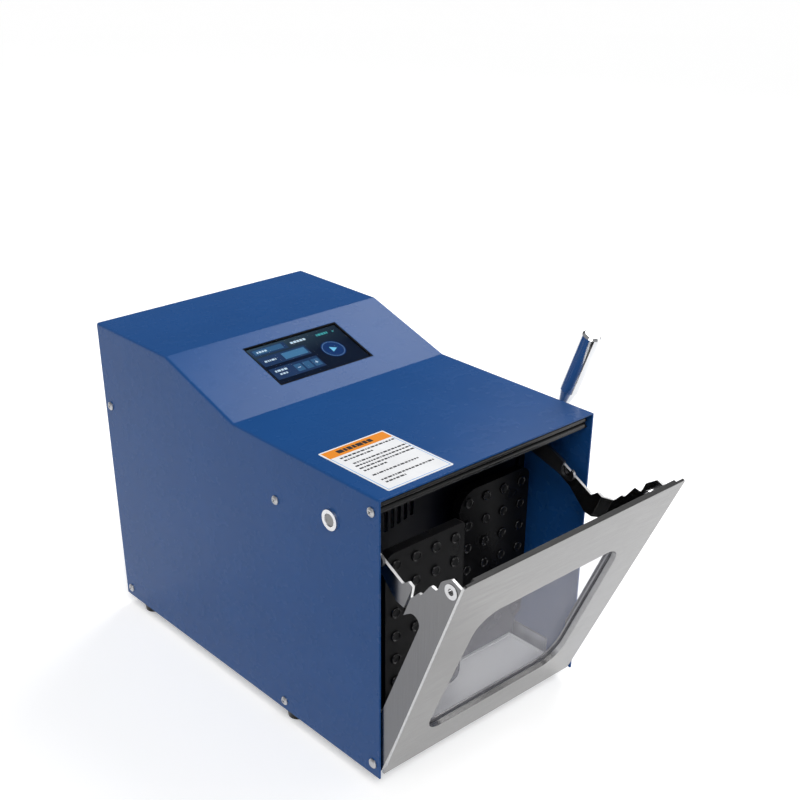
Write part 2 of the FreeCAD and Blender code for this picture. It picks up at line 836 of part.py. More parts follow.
def chamber_wall():
    """The wall behind the paddles, with louvre slots, the rod holes and slots for the door arms."""
    body = new_body("wall_body")
    section = new_sketch(body, "XY_Plane", "pan_flange + sheet_fit")
    rear = "wall_place + wall_flange"
    draw_outline(section, [
        ("-pan_half_width", "wall_place"),
        ("pan_half_width", "wall_place"),
        ("pan_half_width", rear),
        ("pan_half_width - sheet", rear),
        ("pan_half_width - sheet", "wall_place + sheet"),
        ("sheet - pan_half_width", "wall_place + sheet"),
        ("sheet - pan_half_width", rear),
        ("-pan_half_width", rear),
    ])
    extrude(body, section, "front_height - sheet - 2 * sheet_fit - pan_flange")
    foot = new_sketch(body, "XZ_Plane", "-wall_place")
    inside_pan = "pan_half_width - sheet - sheet_fit"
    draw_box(foot, f"-({inside_pan})", inside_pan, "sheet", "pan_flange + sheet_fit + sheet")
    extrude(body, foot, "sheet", backwards=True)
    openings = new_sketch(body, "XZ_Plane")
    for number in range(count_of("louvre_count")):
        left = f"louvre_place + {number} * louvre_pitch"
        draw_box(openings, left, f"{left} + louvre_width",
                 f"louvre_low + {number} * louvre_rise", "louvre_high")
    for sign in SIDES.values():
        draw_circle(openings, f"{sign} * (paddle_x)", "rod_level", "rod_bush_radius")
        draw_box(openings, f"{sign} * (arm_inner_x - arm_slot_gap)",
                 f"{sign} * (arm_inner_x + arm_sheet + arm_slot_gap)", "arm_slot_low", "arm_slot_high")
    cut_through(body, openings)
    drill_side_screws(body, side_screw_places()[1:2])
    keep(body, "chamber_wall")


def floor_tray():
    """A white tray on the pan, with a rim round a shallow dip."""
    body = new_body("tray_body")
    rear = "wall_place - tray_rear_gap"
    slab = new_sketch(body, "XY_Plane", "sheet")
    draw_box(slab, "-tray_width / 2", "tray_width / 2", "tray_front", rear)
    extrude(body, slab, "tray_height")
    dip = new_sketch(body, "XY_Plane", "sheet + tray_height")
    draw_box(dip, "tray_rim - tray_width / 2", "tray_width / 2 - tray_rim",
             "tray_front + tray_rim", f"{rear} - tray_rim")
    cut_depth(body, dip, "tray_dip")
    keep(body, "floor_tray")


def foot_places():
    return [
        ("front_left", "-foot_x", "foot_front"),
        ("front_right", "foot_x", "foot_front"),
        ("rear_left", "-foot_x", "foot_rear"),
        ("rear_right", "foot_x", "foot_rear"),
    ]


def feet():
    """Four rubber feet, each drawn in by a screw from below."""
    screws = []
    for name, x, y in foot_places():
        body = new_body("foot_body")
        section = new_sketch(body, "XZ_Plane")
        draw_outline(section, [
            ("foot_screw_radius", "0"),
            ("foot_radius", "0"),
            ("foot_radius - foot_taper", "-foot_height"),
            ("foot_head_radius", "-foot_height"),
            ("foot_head_radius", "foot_recess - foot_height"),
            ("foot_screw_radius", "foot_recess - foot_height"),
        ])
        spin(body, section, "V_Axis")
        keep(body, f"foot_{name}", "machine", x, y)
        head = round_bar("z", "foot_head_radius", "foot_recess - foot_height - foot_head_height",
                         "foot_head_height", x, y)
        shank_start = "foot_recess - foot_height"
        shank = round_bar("z", "foot_screw_radius", shank_start,
                          f"foot_screw_stand - ({shank_start})", x, y)
        screws.append(joined("Part::MultiFuse", [head, shank]))
    keep(joined("Part::Compound", screws), "foot_screws")


def cover_screws():
    """The pan-head screws along both sides, in one group."""
    screws = []
    for side, sign in SIDES.items():
        for y, z in side_screw_places():
            body = new_body("screw_body")
            section = new_sketch(body, "XY_Plane")
            draw_outline(section, [
                (f"{sign} * (half_width - screw_shank)", "0"),
                (f"{sign} * (half_width + screw_head_height)", "0"),
                (f"{sign} * (half_width + screw_head_height)", "screw_crown_radius"),
                (f"{sign} * (half_width + screw_head_height / 2)", "screw_head_radius"),
                (f"{sign} * half_width", "screw_head_radius"),
                (f"{sign} * half_width", "screw_shank_radius"),
                (f"{sign} * (half_width - screw_shank)", "screw_shank_radius"),
            ])
            spin(body, section)
            bind(body, "Placement.Base.y", y)
            bind(body, "Placement.Base.z", z)
            screws.append(body)
    keep(joined("Part::Compound", screws), "cover_screws")


def seal_parts():
    """A black extruded holder over the door opening carries two rubber bars."""
    body = new_body("holder_body")
    section = new_sketch(body, "YZ_Plane")
    draw_box(section, "holder_front", "holder_rear", "holder_bottom", "front_height - sheet - sheet_fit")
    extrude(body, section, "holder_width", side="Symmetric")
    grooves = new_sketch(body, "YZ_Plane")
    for z in ("seal_upper_z", "seal_lower_z"):
        draw_circle(grooves, "seal_front + seal_radius", z, "seal_radius")
    cut_through(body, grooves)
    drill_side_screws(body, side_screw_places()[:1])
    keep(body, "seal_holder")
    for name, z in (("upper", "seal_upper_z"), ("lower", "seal_lower_z")):
        bar = new_body("seal_body")
        half = new_sketch(bar, "XY_Plane")
        draw_outline(half, [
            ("-seal_left", "0"),
            ("seal_right", "0"),
            ("seal_right", "seal_radius / 2"),
            ("seal_right - seal_radius / 2", "seal_radius"),
            ("-seal_left", "seal_radius"),
        ])
        spin(bar, half)
        keep(bar, f"seal_bar_{name}", "machine", "0", "seal_front + seal_radius", z)


def instruction_label():
    """A thin plate on the top, printed in the look only."""
    body = new_body("label_body")
    outline = new_sketch(body, "XY_Plane", "front_height")
    draw_box(outline, "-label_left", "-label_right", "label_front", "label_rear")
    extrude(body, outline, "label_thickness")
    round_edges(body, "label_corner", along("z"))
    keep(body, "instruction_label")


# The touch screen


def screen_block(name, half_width, low, high, bottom, thick):
    body = new_body(name)
    outline = new_sketch(body, "XY_Plane", bottom)
    draw_box(outline, f"-({half_width})", half_width, low, high)
    extrude(body, outline, thick)
    return body


def touch_screen():
    """A bezel in the slope's opening, the glass in it, the display and its board behind."""
    edge = "screen_wall + screen_fit"
    bezel = screen_block("bezel_body", "screen_width / 2 + screen_flange", "screen_low - screen_flange",
                         "screen_top + screen_flange", "-(sheet + screen_flange_thick)",
                         "screen_flange_thick")
    collar = new_sketch(bezel, "XY_Plane", "-sheet")
    draw_box(collar, "screen_fit - screen_width / 2", "screen_width / 2 - screen_fit",
             "screen_low + screen_fit", "screen_top - screen_fit")
    extrude(bezel, collar, "sheet - screen_fit")
    opening = new_sketch(bezel, "XY_Plane")
    draw_box(opening, "screen_wall - screen_width / 2", "screen_width / 2 - screen_wall",
             "screen_low + screen_wall", "screen_top - screen_wall")
    cut_through(bezel, opening)
    keep(bezel, "screen_bezel", "slope")
    layers = (
        ("screen_glass", "glass_top - glass_thick", "glass_thick"),
        ("display_module", "display_top - display_thick", "display_thick"),
    )
    for label, bottom, thick in layers:
        keep(screen_block("layer_body", f"screen_width / 2 - ({edge})", f"screen_low + {edge}",
                          f"screen_top - ({edge})", bottom, thick), label, "slope")
    middle = "(screen_low + screen_top) / 2"
    keep(screen_block("board_body", "board_width / 2", f"{middle} - board_height / 2",
                      f"{middle} + board_height / 2", "board_top - board_thick", "board_thick"),
         "control_board", "slope")


# The door


def window_box(sketch, margin):
    draw_box(sketch, f"-window_left - ({margin})", f"window_right + ({margin})",
             f"window_low - ({margin})", f"window_high + ({margin})")


def window_block(front, thick, margin):
    """A slab with round corners, as large as the window and a margin round it."""
    body = new_body("window_body")
    outline = new_sketch(body, "XZ_Plane", front)
    window_box(outline, margin)
    extrude(body, outline, thick, backwards=True)
    round_edges(body, f"window_corner + {margin}", along("y"))
    return body


def door_panel():
    """The steel door: wider at the top, with a rounded window whose edge is folded back as a rim."""
    body = new_body("door_body")
    plate = new_sketch(body, "XZ_Plane", "door_face")
    draw_outline(plate, [
        ("-door_low_width / 2", "-door_low"),
        ("door_low_width / 2", "-door_low"),
        ("door_top_width / 2", "sheet_rise"),
        ("-door_top_width / 2", "sheet_rise"),
    ])
    extrude(body, plate, "door_thick", backwards=True)
    round_edges(body, "door_corner", along("y"))
    rim = window_block("door_back", "gasket_thick - rim_gap", "window_rim")
    window = window_block("door_face + overrun", "2 * overrun + door_thick + gasket_thick", "0")
    keep(joined("Part::Cut", [joined("Part::MultiFuse", [body, rim]), window]), "door_panel", "door")


def door_strip():
    """A black rubber strip over the door's upper edge: a cap and the flap behind it."""
    body = new_body("strip_body")
    cap = new_sketch(body, "XZ_Plane", "door_face")
    end = "door_top_width / 2 - door_corner"
    draw_box(cap, f"-({end})", end, "sheet_rise", "door_rise")
    extrude(body, cap, "door_thick", backwards=True)
    flap = new_sketch(body, "XZ_Plane", "door_back")
    draw_box(flap, "-strip_width / 2", "strip_width / 2", "door_rise - strip_height", "door_rise")
    extrude(body, flap, "strip_depth", backwards=True)
    keep(body, "door_strip", "door")


def window_layer(label, front, thick, outer, inner=None, screw_holes=False):
    """A layer behind the window: a pane, or a ring with a rounded opening."""
    body = new_body("layer_body")
    outline = new_sketch(body, "XZ_Plane", front)
    window_box(outline, outer)
    extrude(body, outline, thick, backwards=True)
    if inner is not None:
        opening = new_sketch(body, "XZ_Plane")
        window_box(opening, inner)
        cut_through(body, opening)
        round_edges(body, f"window_corner + {inner}", along("y"), nearest_middle(body), 4)
    outward = nearest_middle(body)
    round_edges(body, f"window_corner + {outer}", along("y"), lambda spot: -outward(spot), 4)
    if screw_holes:
        holes = new_sketch(body, "XZ_Plane")
        for x, z in frame_screw_places():
            draw_circle(holes, x, z, "frame_screw_radius")
        cut_through(body, holes)
    keep(body, label, "door")


def frame_screw_places():
    """Three screws beside each upright of the window and one above and below."""
    reach = "gasket_margin - frame_screw_inset"
    left = f"-window_left - ({reach})"
    right = f"window_right + ({reach})"
    low = "window_low + window_corner"
    high = "window_high - window_corner"
    places = [(x, z) for x in (left, right) for z in (low, "window_z", high)]
    places.append(("window_x", f"window_low - ({reach})"))
    places.append(("window_x", f"window_high + ({reach})"))
    return places


def door_window():
    """Gasket, tinted pane and the frame that clamps them to the door."""
    window_layer("window_gasket", "door_back", "gasket_thick", "gasket_margin",
                 "window_rim + rim_fit", True)
    window_layer("window_pane", "gasket_back", "pane_thick", "pane_margin")
    window_layer("window_frame", "pane_back", "frame_thick", "gasket_margin", "frame_overhang", True)
    studs = []
    for x, z in frame_screw_places():
        shank = round_bar("y", "frame_screw_radius", "-(door_back)",
                          "door_back - pane_back + frame_thick", x, z)
        head = round_bar("y", "frame_head_radius", "frame_thick - (pane_back)", "frame_head_height", x, z)
        studs.append(joined("Part::MultiFuse", [shank, head]))
    keep(joined("Part::Compound", studs), "frame_screws", "door")


def door_arm(side):
    """An arm plate: it hangs on the hinge pin and guides the door with its stepped upper edge."""
    sign = SIDES[side]
    points = [
        ("-(door_back)", "-arm_foot_radius"),
        ("arm_foot_radius", "-arm_foot_radius"),
        ("arm_foot_radius", "arm_back_start"),
        ("arm_back", "arm_back_end"),
        ("arm_back", "arm_web"),
        ("arm_waist_y", "arm_waist_z"),
        ("arm_neck_y", "arm_neck_z"),
        ("arm_bend_y", "arm_bend_z"),
        ("arm_length", "arm_end_low"),
        ("arm_length", "arm_end_high"),
        ("step_one_y + step_run", "step_one_low"),
        ("step_one_y", "step_one_high"),
        ("step_two_y + step_run", "step_two_low"),
        ("step_two_y", "step_two_high"),
        ("step_three_y + step_run", "step_three_low"),
        ("step_three_y", "step_three_high"),
        ("step_four_y", "step_four_low"),
        ("step_four_y", "step_four_high"),
        ("arm_top_y", "arm_top"),
        ("-(door_back)", "arm_top"),
    ]
    profile = new_body("arm_profile")
    outline = new_sketch(profile, "YZ_Plane", f"{sign} * arm_outer_x")
    draw_outline(outline, points)
    extrude(profile, outline, "arm_outer_x - arm_inner_x", backwards=(side == "right"))
    round_edges(profile, "arm_foot_radius", along("x"), lambda spot: spot.z, 2)
    web = outline.Geometry[points.index(("arm_back", "arm_web"))].StartPoint
    round_edges(profile, "arm_web_round", along("x"), lambda spot: math.dist(spot[1:], web[:2]), 1)
    corners_above = len(points) - points.index(("arm_back", "arm_web")) - 1
    round_edges(profile, "arm_round", along("x"), lambda spot: -spot.z + spot.y / 2, corners_above)
    holes = new_sketch(profile, "YZ_Plane")
    draw_circle(holes, "0", "0", "pin_radius + running_fit")
    draw_circle(holes, "stud_y", "stud_z", "stud_radius")
    cut_through(profile, holes)
    strip = new_body("arm_strip")
    plan = new_sketch(strip, "XY_Plane", "-overrun - arm_foot_radius")
    outer = [("arm_outer_x", "-(door_back)"), ("arm_outer_x", "joggle_start"),
             ("arm_inner_x + arm_sheet", "joggle_end"), ("arm_inner_x + arm_sheet", "arm_length + overrun")]
    inner = [("arm_inner_x", "arm_length + overrun"), ("arm_inner_x", "joggle_end"),
             ("arm_outer_x - arm_sheet", "joggle_start"), ("arm_outer_x - arm_sheet", "-(door_back)")]
    draw_outline(plan, [(f"{sign} * ({x})", y) for x, y in outer + inner])
    extrude(strip, plan, "arm_top + arm_foot_radius + 2 * overrun")
    plate = joined("Part::MultiCommon", [profile, strip])
    tab = document.addObject("Part::Box", "tab")
    bind(tab, "Length", "arm_tab")
    bind(tab, "Width", "arm_sheet")
    bind(tab, "Height", "arm_tab_high - arm_tab_low")
    low_x = "arm_outer_x - arm_tab" if side == "right" else "-arm_outer_x"
    bind(tab, "Placement.Base.x", low_x)
    bind(tab, "Placement.Base.y", "-(door_back)")
    bind(tab, "Placement.Base.z", "arm_tab_low")
    keep(joined("Part::MultiFuse", [plate, tab]), f"door_arm_{side}", "door")


def turned_along_x(label, home, points, y="0", z="0"):
    """A turned piece on an axis along x, from an outline of x and radius."""
    body = new_body("turned_body")
    section = new_sketch(body, "XY_Plane")
    draw_outline(section, points)
    spin(body, section)
    return keep(body, label, home, "0", y, z)


def latch_stud(side):
    """A hollow stud in the arm's upper corner, which the crank's throat catches."""
    sign = SIDES[side]
    inner = {"left": "crank_left_x - crank_sheet", "right": "crank_right_x"}[side]
    outer_x = f"{sign} * (arm_outer_x + stud_proud)"
    inner_x = f"{sign} * ({inner} - stud_past)"
    turned_along_x(f"latch_stud_{side}", "door", [
        (inner_x, "stud_bore"),
        (outer_x, "stud_bore"),
        (outer_x, "stud_head_radius"),
        (f"{sign} * arm_outer_x", "stud_head_radius"),
        (f"{sign} * arm_outer_x", "stud_radius"),
        (inner_x, "stud_radius"),
    ], "stud_y", "stud_z")


def hinge_pin(side):
    sign = SIDES[side]
    turned_along_x(f"hinge_pin_{side}", "machine", [
        (f"{sign} * pin_end_x", "0"),
        (f"{sign} * (half_width + pin_head_height)", "0"),
        (f"{sign} * (half_width + pin_head_height)", "pin_radius"),
        (f"{sign} * (half_width + pin_head_height / 2)", "pin_head_radius"),
        (f"{sign} * half_width", "pin_head_radius"),
        (f"{sign} * half_width", "pin_radius"),
        (f"{sign} * pin_end_x", "pin_radius"),
    ], "hinge_y", "hinge_z")


# The door lock


def shaft_bush(side):
    """A flanged bush in the cover's side, in which the lock shaft turns."""
    sign = SIDES[side]
    bore = "shaft_radius + running_fit"
    turned_along_x(f"shaft_bush_{side}", "machine", [
        (f"{sign} * bush_end_x", bore),
        (f"{sign} * (half_width + bush_flange)", bore),
        (f"{sign} * (half_width + bush_flange)", "bush_flange_radius"),
        (f"{sign} * half_width", "bush_flange_radius"),
        (f"{sign} * half_width", "bush_radius"),
        (f"{sign} * bush_end_x", "bush_radius"),
    ], "shaft_y", "shaft_z")


def lock_shaft():
    turned_along_x("lock_shaft", "crank", [
        ("-shaft_left_end", "0"),
        ("-shaft_left_end", "shaft_radius - shaft_chamfer"),
        ("shaft_chamfer - shaft_left_end", "shaft_radius"),
        ("shaft_right_end", "shaft_radius"),
        ("shaft_right_end", "0"),
    ])


def crank(side):
    """A crank on the lock shaft. The throat in its upper edge closes over the door's stud."""
    start = {"left": "-crank_left_x", "right": "crank_right_x"}[side]
    body = new_body("crank_body")
    hub = new_sketch(body, "YZ_Plane", start)
    draw_circle(hub, "0", "0", "crank_hub_radius")
    extrude(body, hub, "crank_sheet")
    bar = new_sketch(body, "YZ_Plane", start)
    draw_outline(bar, [
        ("0", "-crank_hub_radius"),
        ("0", "crank_hub_radius"),
        ("-crank_reach", "crank_end_radius"),
        ("-crank_reach", "-crank_end_radius"),
    ])
    extrude(body, bar, "crank_sheet")
    nose = new_sketch(body, "YZ_Plane", start)
    draw_circle(nose, "-crank_reach", "0", "crank_end_radius")
    extrude(body, nose, "crank_sheet")
    if side == "right":
        collar = new_sketch(body, "YZ_Plane", f"{start} - collar_length")
        draw_circle(collar, "0", "0", "collar_radius")
        extrude(body, collar, "collar_length")
    bore = new_sketch(body, "YZ_Plane")
    draw_circle(bore, "0", "0", "shaft_radius")
    cut_through(body, bore)
    mouth = new_sketch(body, "YZ_Plane")
    draw_box(mouth, "-(stud_reach + stud_radius + throat_fit)",
             "stud_radius + throat_fit + throat_lead - stud_reach", "0", "crank_hub_radius")
    cut_through(body, mouth)
    seat = new_sketch(body, "YZ_Plane")
    draw_circle(seat, "-(stud_reach)", "0", "stud_radius + throat_fit")
    cut_through(body, seat)
    keep(body, f"crank_{side}", "crank")


def lever():
    """Hub, rod, grip and set screw on the shaft's right end."""
    hub = new_body("hub_body")
    section = new_sketch(hub, "XY_Plane")
    draw_outline(section, [
        ("hub_start", "shaft_radius"),
        ("shaft_right_end", "shaft_radius"),
        ("shaft_right_end", "0"),
        ("hub_end", "0"),
        ("hub_end", "hub_radius - hub_chamfer"),
        ("hub_end - hub_chamfer", "hub_radius"),
        ("hub_start + hub_chamfer", "hub_radius"),
        ("hub_start", "hub_radius - hub_chamfer"),
    ])
    spin(hub, section)
    socket = new_sketch(hub, "XY_Plane", "lever_rod_start")
    draw_circle(socket, "lever_x", "0", "lever_rod_radius")
    cut_depth(hub, socket, "hub_radius", backwards=True)
    tapped = new_sketch(hub, "XY_Plane")
    draw_circle(tapped, "lever_x", "0", "set_screw_radius")
    cut_depth(hub, tapped, "hub_radius + overrun")
    keep(hub, "lever_hub", "lever")
    rod = round_bar("z", "lever_rod_radius", "lever_rod_start",
                    "lever_rod_end - lever_rod_start", "lever_x")
    keep(joined("Part::Compound", [rod]), "lever_rod", "lever")
    screw = round_bar("z", "set_screw_radius", "-hub_radius", "hub_radius - shaft_radius", "lever_x")
    keep(joined("Part::Compound", [screw]), "hub_set_screw", "lever")
    grip = new_body("grip_body")
    outline = new_sketch(grip, "XZ_Plane")
    draw_outline(outline, [
        ("lever_rod_radius", "grip_start"),
        ("grip_low_radius", "grip_start"),
        ("grip_radius", "grip_cone_end"),
        ("grip_radius", "grip_tip - grip_chamfer"),
        ("grip_radius - grip_chamfer", "grip_tip"),
        ("0", "grip_tip"),
        ("0", "lever_rod_end"),
        ("lever_rod_radius", "lever_rod_end"),
    ])
    spin(grip, outline, "V_Axis")
    keep(grip, "lever_grip", "lever", "lever_x")


# The paddles and their drive


def paddle_corners(side):
    """The corners in order round a paddle: x, z, the two ways inwards and the radius."""
    inner_top = {"left": "paddle_square_corner", "right": "paddle_round_corner"}[side]
    return [
        ("paddle_inner", "paddle_bottom", "1", "1", "paddle_corner"),
        ("(paddle_outer)", "paddle_bottom", "-1", "1", "paddle_corner"),
        ("(paddle_outer)", "(paddle_top)", "-1", "-1", "paddle_corner"),
        ("paddle_inner", "(paddle_top)", "1", "-1", inner_top),
    ]


def paddle_hollow(side):
    """The hollow's outline keeps one skin inside the rim and cuts across each round corner."""
    points = []
    for number, (x, z, inward_x, inward_z, radius) in enumerate(paddle_corners(side)):
        near = "paddle_skin"
        far = f"(paddle_skin + {radius})"
        steps = [(near, far), (far, near)]
        if number % 2:
            steps.reverse()
        for step_x, step_z in steps:
            points.append((f"{SIDES[side]} * ({x} + {inward_x} * {step_x})", f"{z} + {inward_z} * {step_z}"))
    return points


def paddle(side):
    """A hollow moulding: a skin with rows of raised bumps, a rim and a boss for the rod."""
    sign = SIDES[side]
    front = f"-paddle_{side}_y"
    body = new_body("paddle_body")
    outline = new_sketch(body, "XZ_Plane", front)
    corners = paddle_corners(side)
    draw_outline(outline, [(f"{sign} * {x}", z) for x, z, *rest in corners])
    extrude(body, outline, "paddle_thick", backwards=True)
    round_edges(body, corners[-1][-1], along("y"), lambda spot: abs(spot.x) - spot.z, 1)
    round_edges(body, "paddle_corner", along("y"), lambda spot: spot.z - abs(spot.x) / 2, 3)
    hollow = new_sketch(body, "XZ_Plane", f"{front} - paddle_thick")
    draw_outline(hollow, paddle_hollow(side))
    draw_circle(hollow, f"{sign} * (paddle_x)", "rod_level", "boss_radius")
    cut_depth(body, hollow, "paddle_thick - paddle_skin", backwards=True)
    seat = new_sketch(body, "XZ_Plane", f"{front} - paddle_thick")
    draw_circle(seat, f"{sign} * (paddle_x)", "rod_level", "rod_radius")
    cut_depth(body, seat, "rod_seat", backwards=True)
    bumps = new_sketch(body, "XZ_Plane", front)
    for column in range(count_of("bump_columns")):
        for level in range(count_of("bump_rows")):
            x = f"{sign} * (paddle_inner + bump_inset_x + {column} * (bump_pitch_x))"
            z = f"paddle_bottom + bump_inset_z + {level} * (bump_pitch_z)"
            draw_circle(bumps, x, z, "bump_radius")
    extrude(body, bumps, "bump_height", taper="-bump_slant")
    keep(body, f"paddle_{side}")


def push_rod(side):
    sign = SIDES[side]
    start = f"paddle_{side}_y + paddle_thick - rod_seat"
    rod = round_bar("y", "rod_radius", start, "rod_length", f"{sign} * (paddle_x)", "rod_level")
    keep(joined("Part::Compound", [rod]), f"push_rod_{side}")


def rod_bush(side):
    """A flanged bush in the chamber wall that guides a push rod."""
    body = new_body("bush_body")
    section = new_sketch(body, "YZ_Plane")
    bore = "rod_radius + running_fit"
    draw_outline(section, [
        ("-rod_bush_flange", bore),
        ("rod_bush_length", bore),
        ("rod_bush_length", "rod_bush_radius"),
        ("0", "rod_bush_radius"),
        ("0", "rod_bush_flange_radius"),
        ("-rod_bush_flange", "rod_bush_flange_radius"),
    ])
    spin(body, section)
    keep(body, f"rod_bush_{side}", "machine", f"{SIDES[side]} * (paddle_x)", "wall_place", "rod_level")


def drive_case():
    """The cast case of the crank drive, with a blind bore for each push rod."""
    body = new_body("case_body")
    outline = new_sketch(body, "XZ_Plane", "-case_front")
    draw_box(outline, "-case_half_width", "case_half_width", "case_bottom", "case_top")
    extrude(body, outline, "case_rear - case_front", backwards=True)
    round_edges(body, "case_corner", along("y"))
    bores = new_sketch(body, "XZ_Plane", "-case_front")
    for sign in SIDES.values():
        draw_circle(bores, f"{sign} * (paddle_x)", "rod_level", "rod_radius + bore_fit")
    cut_depth(body, bores, "case_bore_end - case_front")
    keep(body, "drive_case")


def drive_bracket():
    """A folded stand that carries the drive case over the pan."""
    body = new_body("bracket_body")
    section = new_sketch(body, "XZ_Plane", "-bracket_front")
    half = [
        ("bracket_half_width - bracket_sheet", "sheet"),
        ("bracket_foot_end", "sheet"),
        ("bracket_foot_end", "sheet + bracket_sheet"),
        ("bracket_half_width", "sheet + bracket_sheet"),
        ("bracket_half_width", "case_bottom"),
    ]
    inside = ("bracket_half_width - bracket_sheet", "case_bottom - bracket_sheet")
    mirrored = [(f"-({x})", z) for x, z in reversed(half)]
    draw_outline(section, half + mirrored + [(f"-({inside[0]})", inside[1]), inside])
    extrude(body, section, "bracket_rear - bracket_front", backwards=True)
    keep(body, "drive_bracket")


def drive_motor():
    """The motor behind the case: a collar and a banded barrel."""
    body = new_body("motor_body")
    section = new_sketch(body, "YZ_Plane")
    low = "motor_radius - motor_groove"
    draw_outline(section, [
        ("case_rear", "0"),
        ("case_rear", "motor_collar_radius"),
        ("motor_front", "motor_collar_radius"),
        ("motor_front", "motor_radius"),
        ("motor_front + motor_collar", "motor_radius"),
        ("motor_front + motor_collar", low),
        ("motor_front + motor_collar + motor_band", low),
        ("motor_front + motor_collar + motor_band", "motor_radius"),
        ("motor_rear", "motor_radius"),
        ("motor_rear", "0"),
    ])
    spin(body, section)
    keep(body, "drive_motor", "machine", "0", "0", "case_middle")


def motor_cowl():
    """The fan cowl over the motor's rear end, slotted round its end face."""
    body = new_body("cowl_body")
    section = new_sketch(body, "YZ_Plane")
    start = "motor_rear - cowl_overlap"
    draw_outline(section, [
        (start, "cowl_inner_radius"),
        (start, "cowl_inner_radius + sheet"),
        ("cowl_rear", "cowl_inner_radius + sheet"),
        ("cowl_rear", "0"),
        ("cowl_rear - sheet", "0"),
        ("cowl_rear - sheet", "cowl_inner_radius"),
    ])
    spin(body, section)
    slot = new_sketch(body, "XZ_Plane", "-(cowl_rear)")
    draw_box(slot, "-cowl_slot_width / 2", "cowl_slot_width / 2", "cowl_hub_radius", "cowl_slot_end")
    first = cut_depth(body, slot, "2 * sheet", backwards=True)
    ring = body.newObject("PartDesign::PolarPattern", "slots")
    ring.Originals = [first]
    ring.Axis = (slot, ["N_Axis"])
    ring.Angle = 360
    bind(ring, "Occurrences", "cowl_slots")
    body.Tip = ring
    document.recompute()
    keep(body, "motor_cowl", "machine", "0", "0", "case_middle")


def electronics_box(label, kind, left):
    """A sheet box on the pan with a row of cooling slots in its lid."""
    body = new_body("box_body")
    right = f"{left} + {kind}_width"
    outline = new_sketch(body, "XY_Plane", "sheet")
    draw_box(outline, left, right, "box_front", f"{kind}_rear")
    extrude(body, outline, f"{kind}_height")
    slots = new_sketch(body, "XY_Plane", f"sheet + {kind}_height")
    pitch = f"({kind}_rear - (box_front)) / (slot_count + 1)"
    for number in range(1, count_of("slot_count") + 1):
        low = f"box_front + {number} * {pitch}"
        draw_box(slots, f"{left} + slot_margin", f"{right} - slot_margin", low, f"{low} + slot_width")
    cut_depth(body, slots, "sheet")
    keep(body, label)


# The rear fittings


def power_inlet():
    """The mains inlet: a flange on the rear panel, a socket and three contact pins."""
    body = new_body("inlet_body")
    flange = new_sketch(body, "XZ_Plane", "-(rear_face)")
    draw_box(flange, "inlet_x - inlet_flange_half_width", "inlet_x + inlet_flange_half_width",
             "inlet_z - inlet_half_height - inlet_wall", "inlet_z + inlet_half_height + inlet_wall")
    extrude(body, flange, "inlet_flange", backwards=True)
    round_edges(body, "inlet_corner", along("y"))
    case = new_sketch(body, "XZ_Plane", "-(rear_face)")
    draw_box(case, "inlet_x - inlet_half_width", "inlet_x + inlet_half_width",
             "inlet_z - inlet_half_height", "inlet_z + inlet_half_height")
    extrude(body, case, "inlet_depth")
    socket = new_sketch(body, "XZ_Plane", "-(rear_face + inlet_flange)")
    draw_box(socket, "inlet_x + inlet_wall - inlet_half_width", "inlet_x + inlet_half_width - inlet_wall",
             "inlet_z + inlet_wall - inlet_half_height", "inlet_z + inlet_half_height - inlet_wall")
    cut_depth(body, socket, "inlet_depth + inlet_flange - inlet_wall", backwards=True)
    holes = new_sketch(body, "XZ_Plane")
    for sign in SIDES.values():
        draw_circle(holes, f"inlet_x + {sign} * inlet_screw_x", "inlet_z", "inlet_screw_radius")
    cut_through(body, holes)
    pins = new_sketch(body, "XZ_Plane", "inlet_depth - inlet_wall - (rear_face)")
    pin_places = (
        ("-inlet_pin_pitch", "-inlet_wall"),
        ("0", "inlet_wall"),
        ("inlet_pin_pitch", "-inlet_wall"),
    )
    for shift, lift in pin_places:
        x = f"inlet_x + {shift}"
        z = f"inlet_z + {lift}"
        draw_box(pins, f"{x} - inlet_pin_width / 2", f"{x} + inlet_pin_width / 2",
                 f"{z} - inlet_pin_height / 2", f"{z} + inlet_pin_height / 2")
    extrude(body, pins, "inlet_depth - 2 * inlet_wall", backwards=True)
    keep(body, "power_inlet")
    inlet_screws()


def inlet_screws():
    screws = []
    face = "rear_face + inlet_flange"
    for sign in SIDES.values():
        x = f"inlet_x + {sign} * inlet_screw_x"
        shank = round_bar("y", "inlet_screw_radius", f"{face} - inlet_screw_length",
                          "inlet_screw_length", x, "inlet_z")
        head = round_bar("y", "inlet_screw_head_radius", face, "inlet_screw_head_height", x, "inlet_z")
        screws.append(joined("Part::MultiFuse", [shank, head]))
    keep(joined("Part::Compound", screws), "inlet_screws")


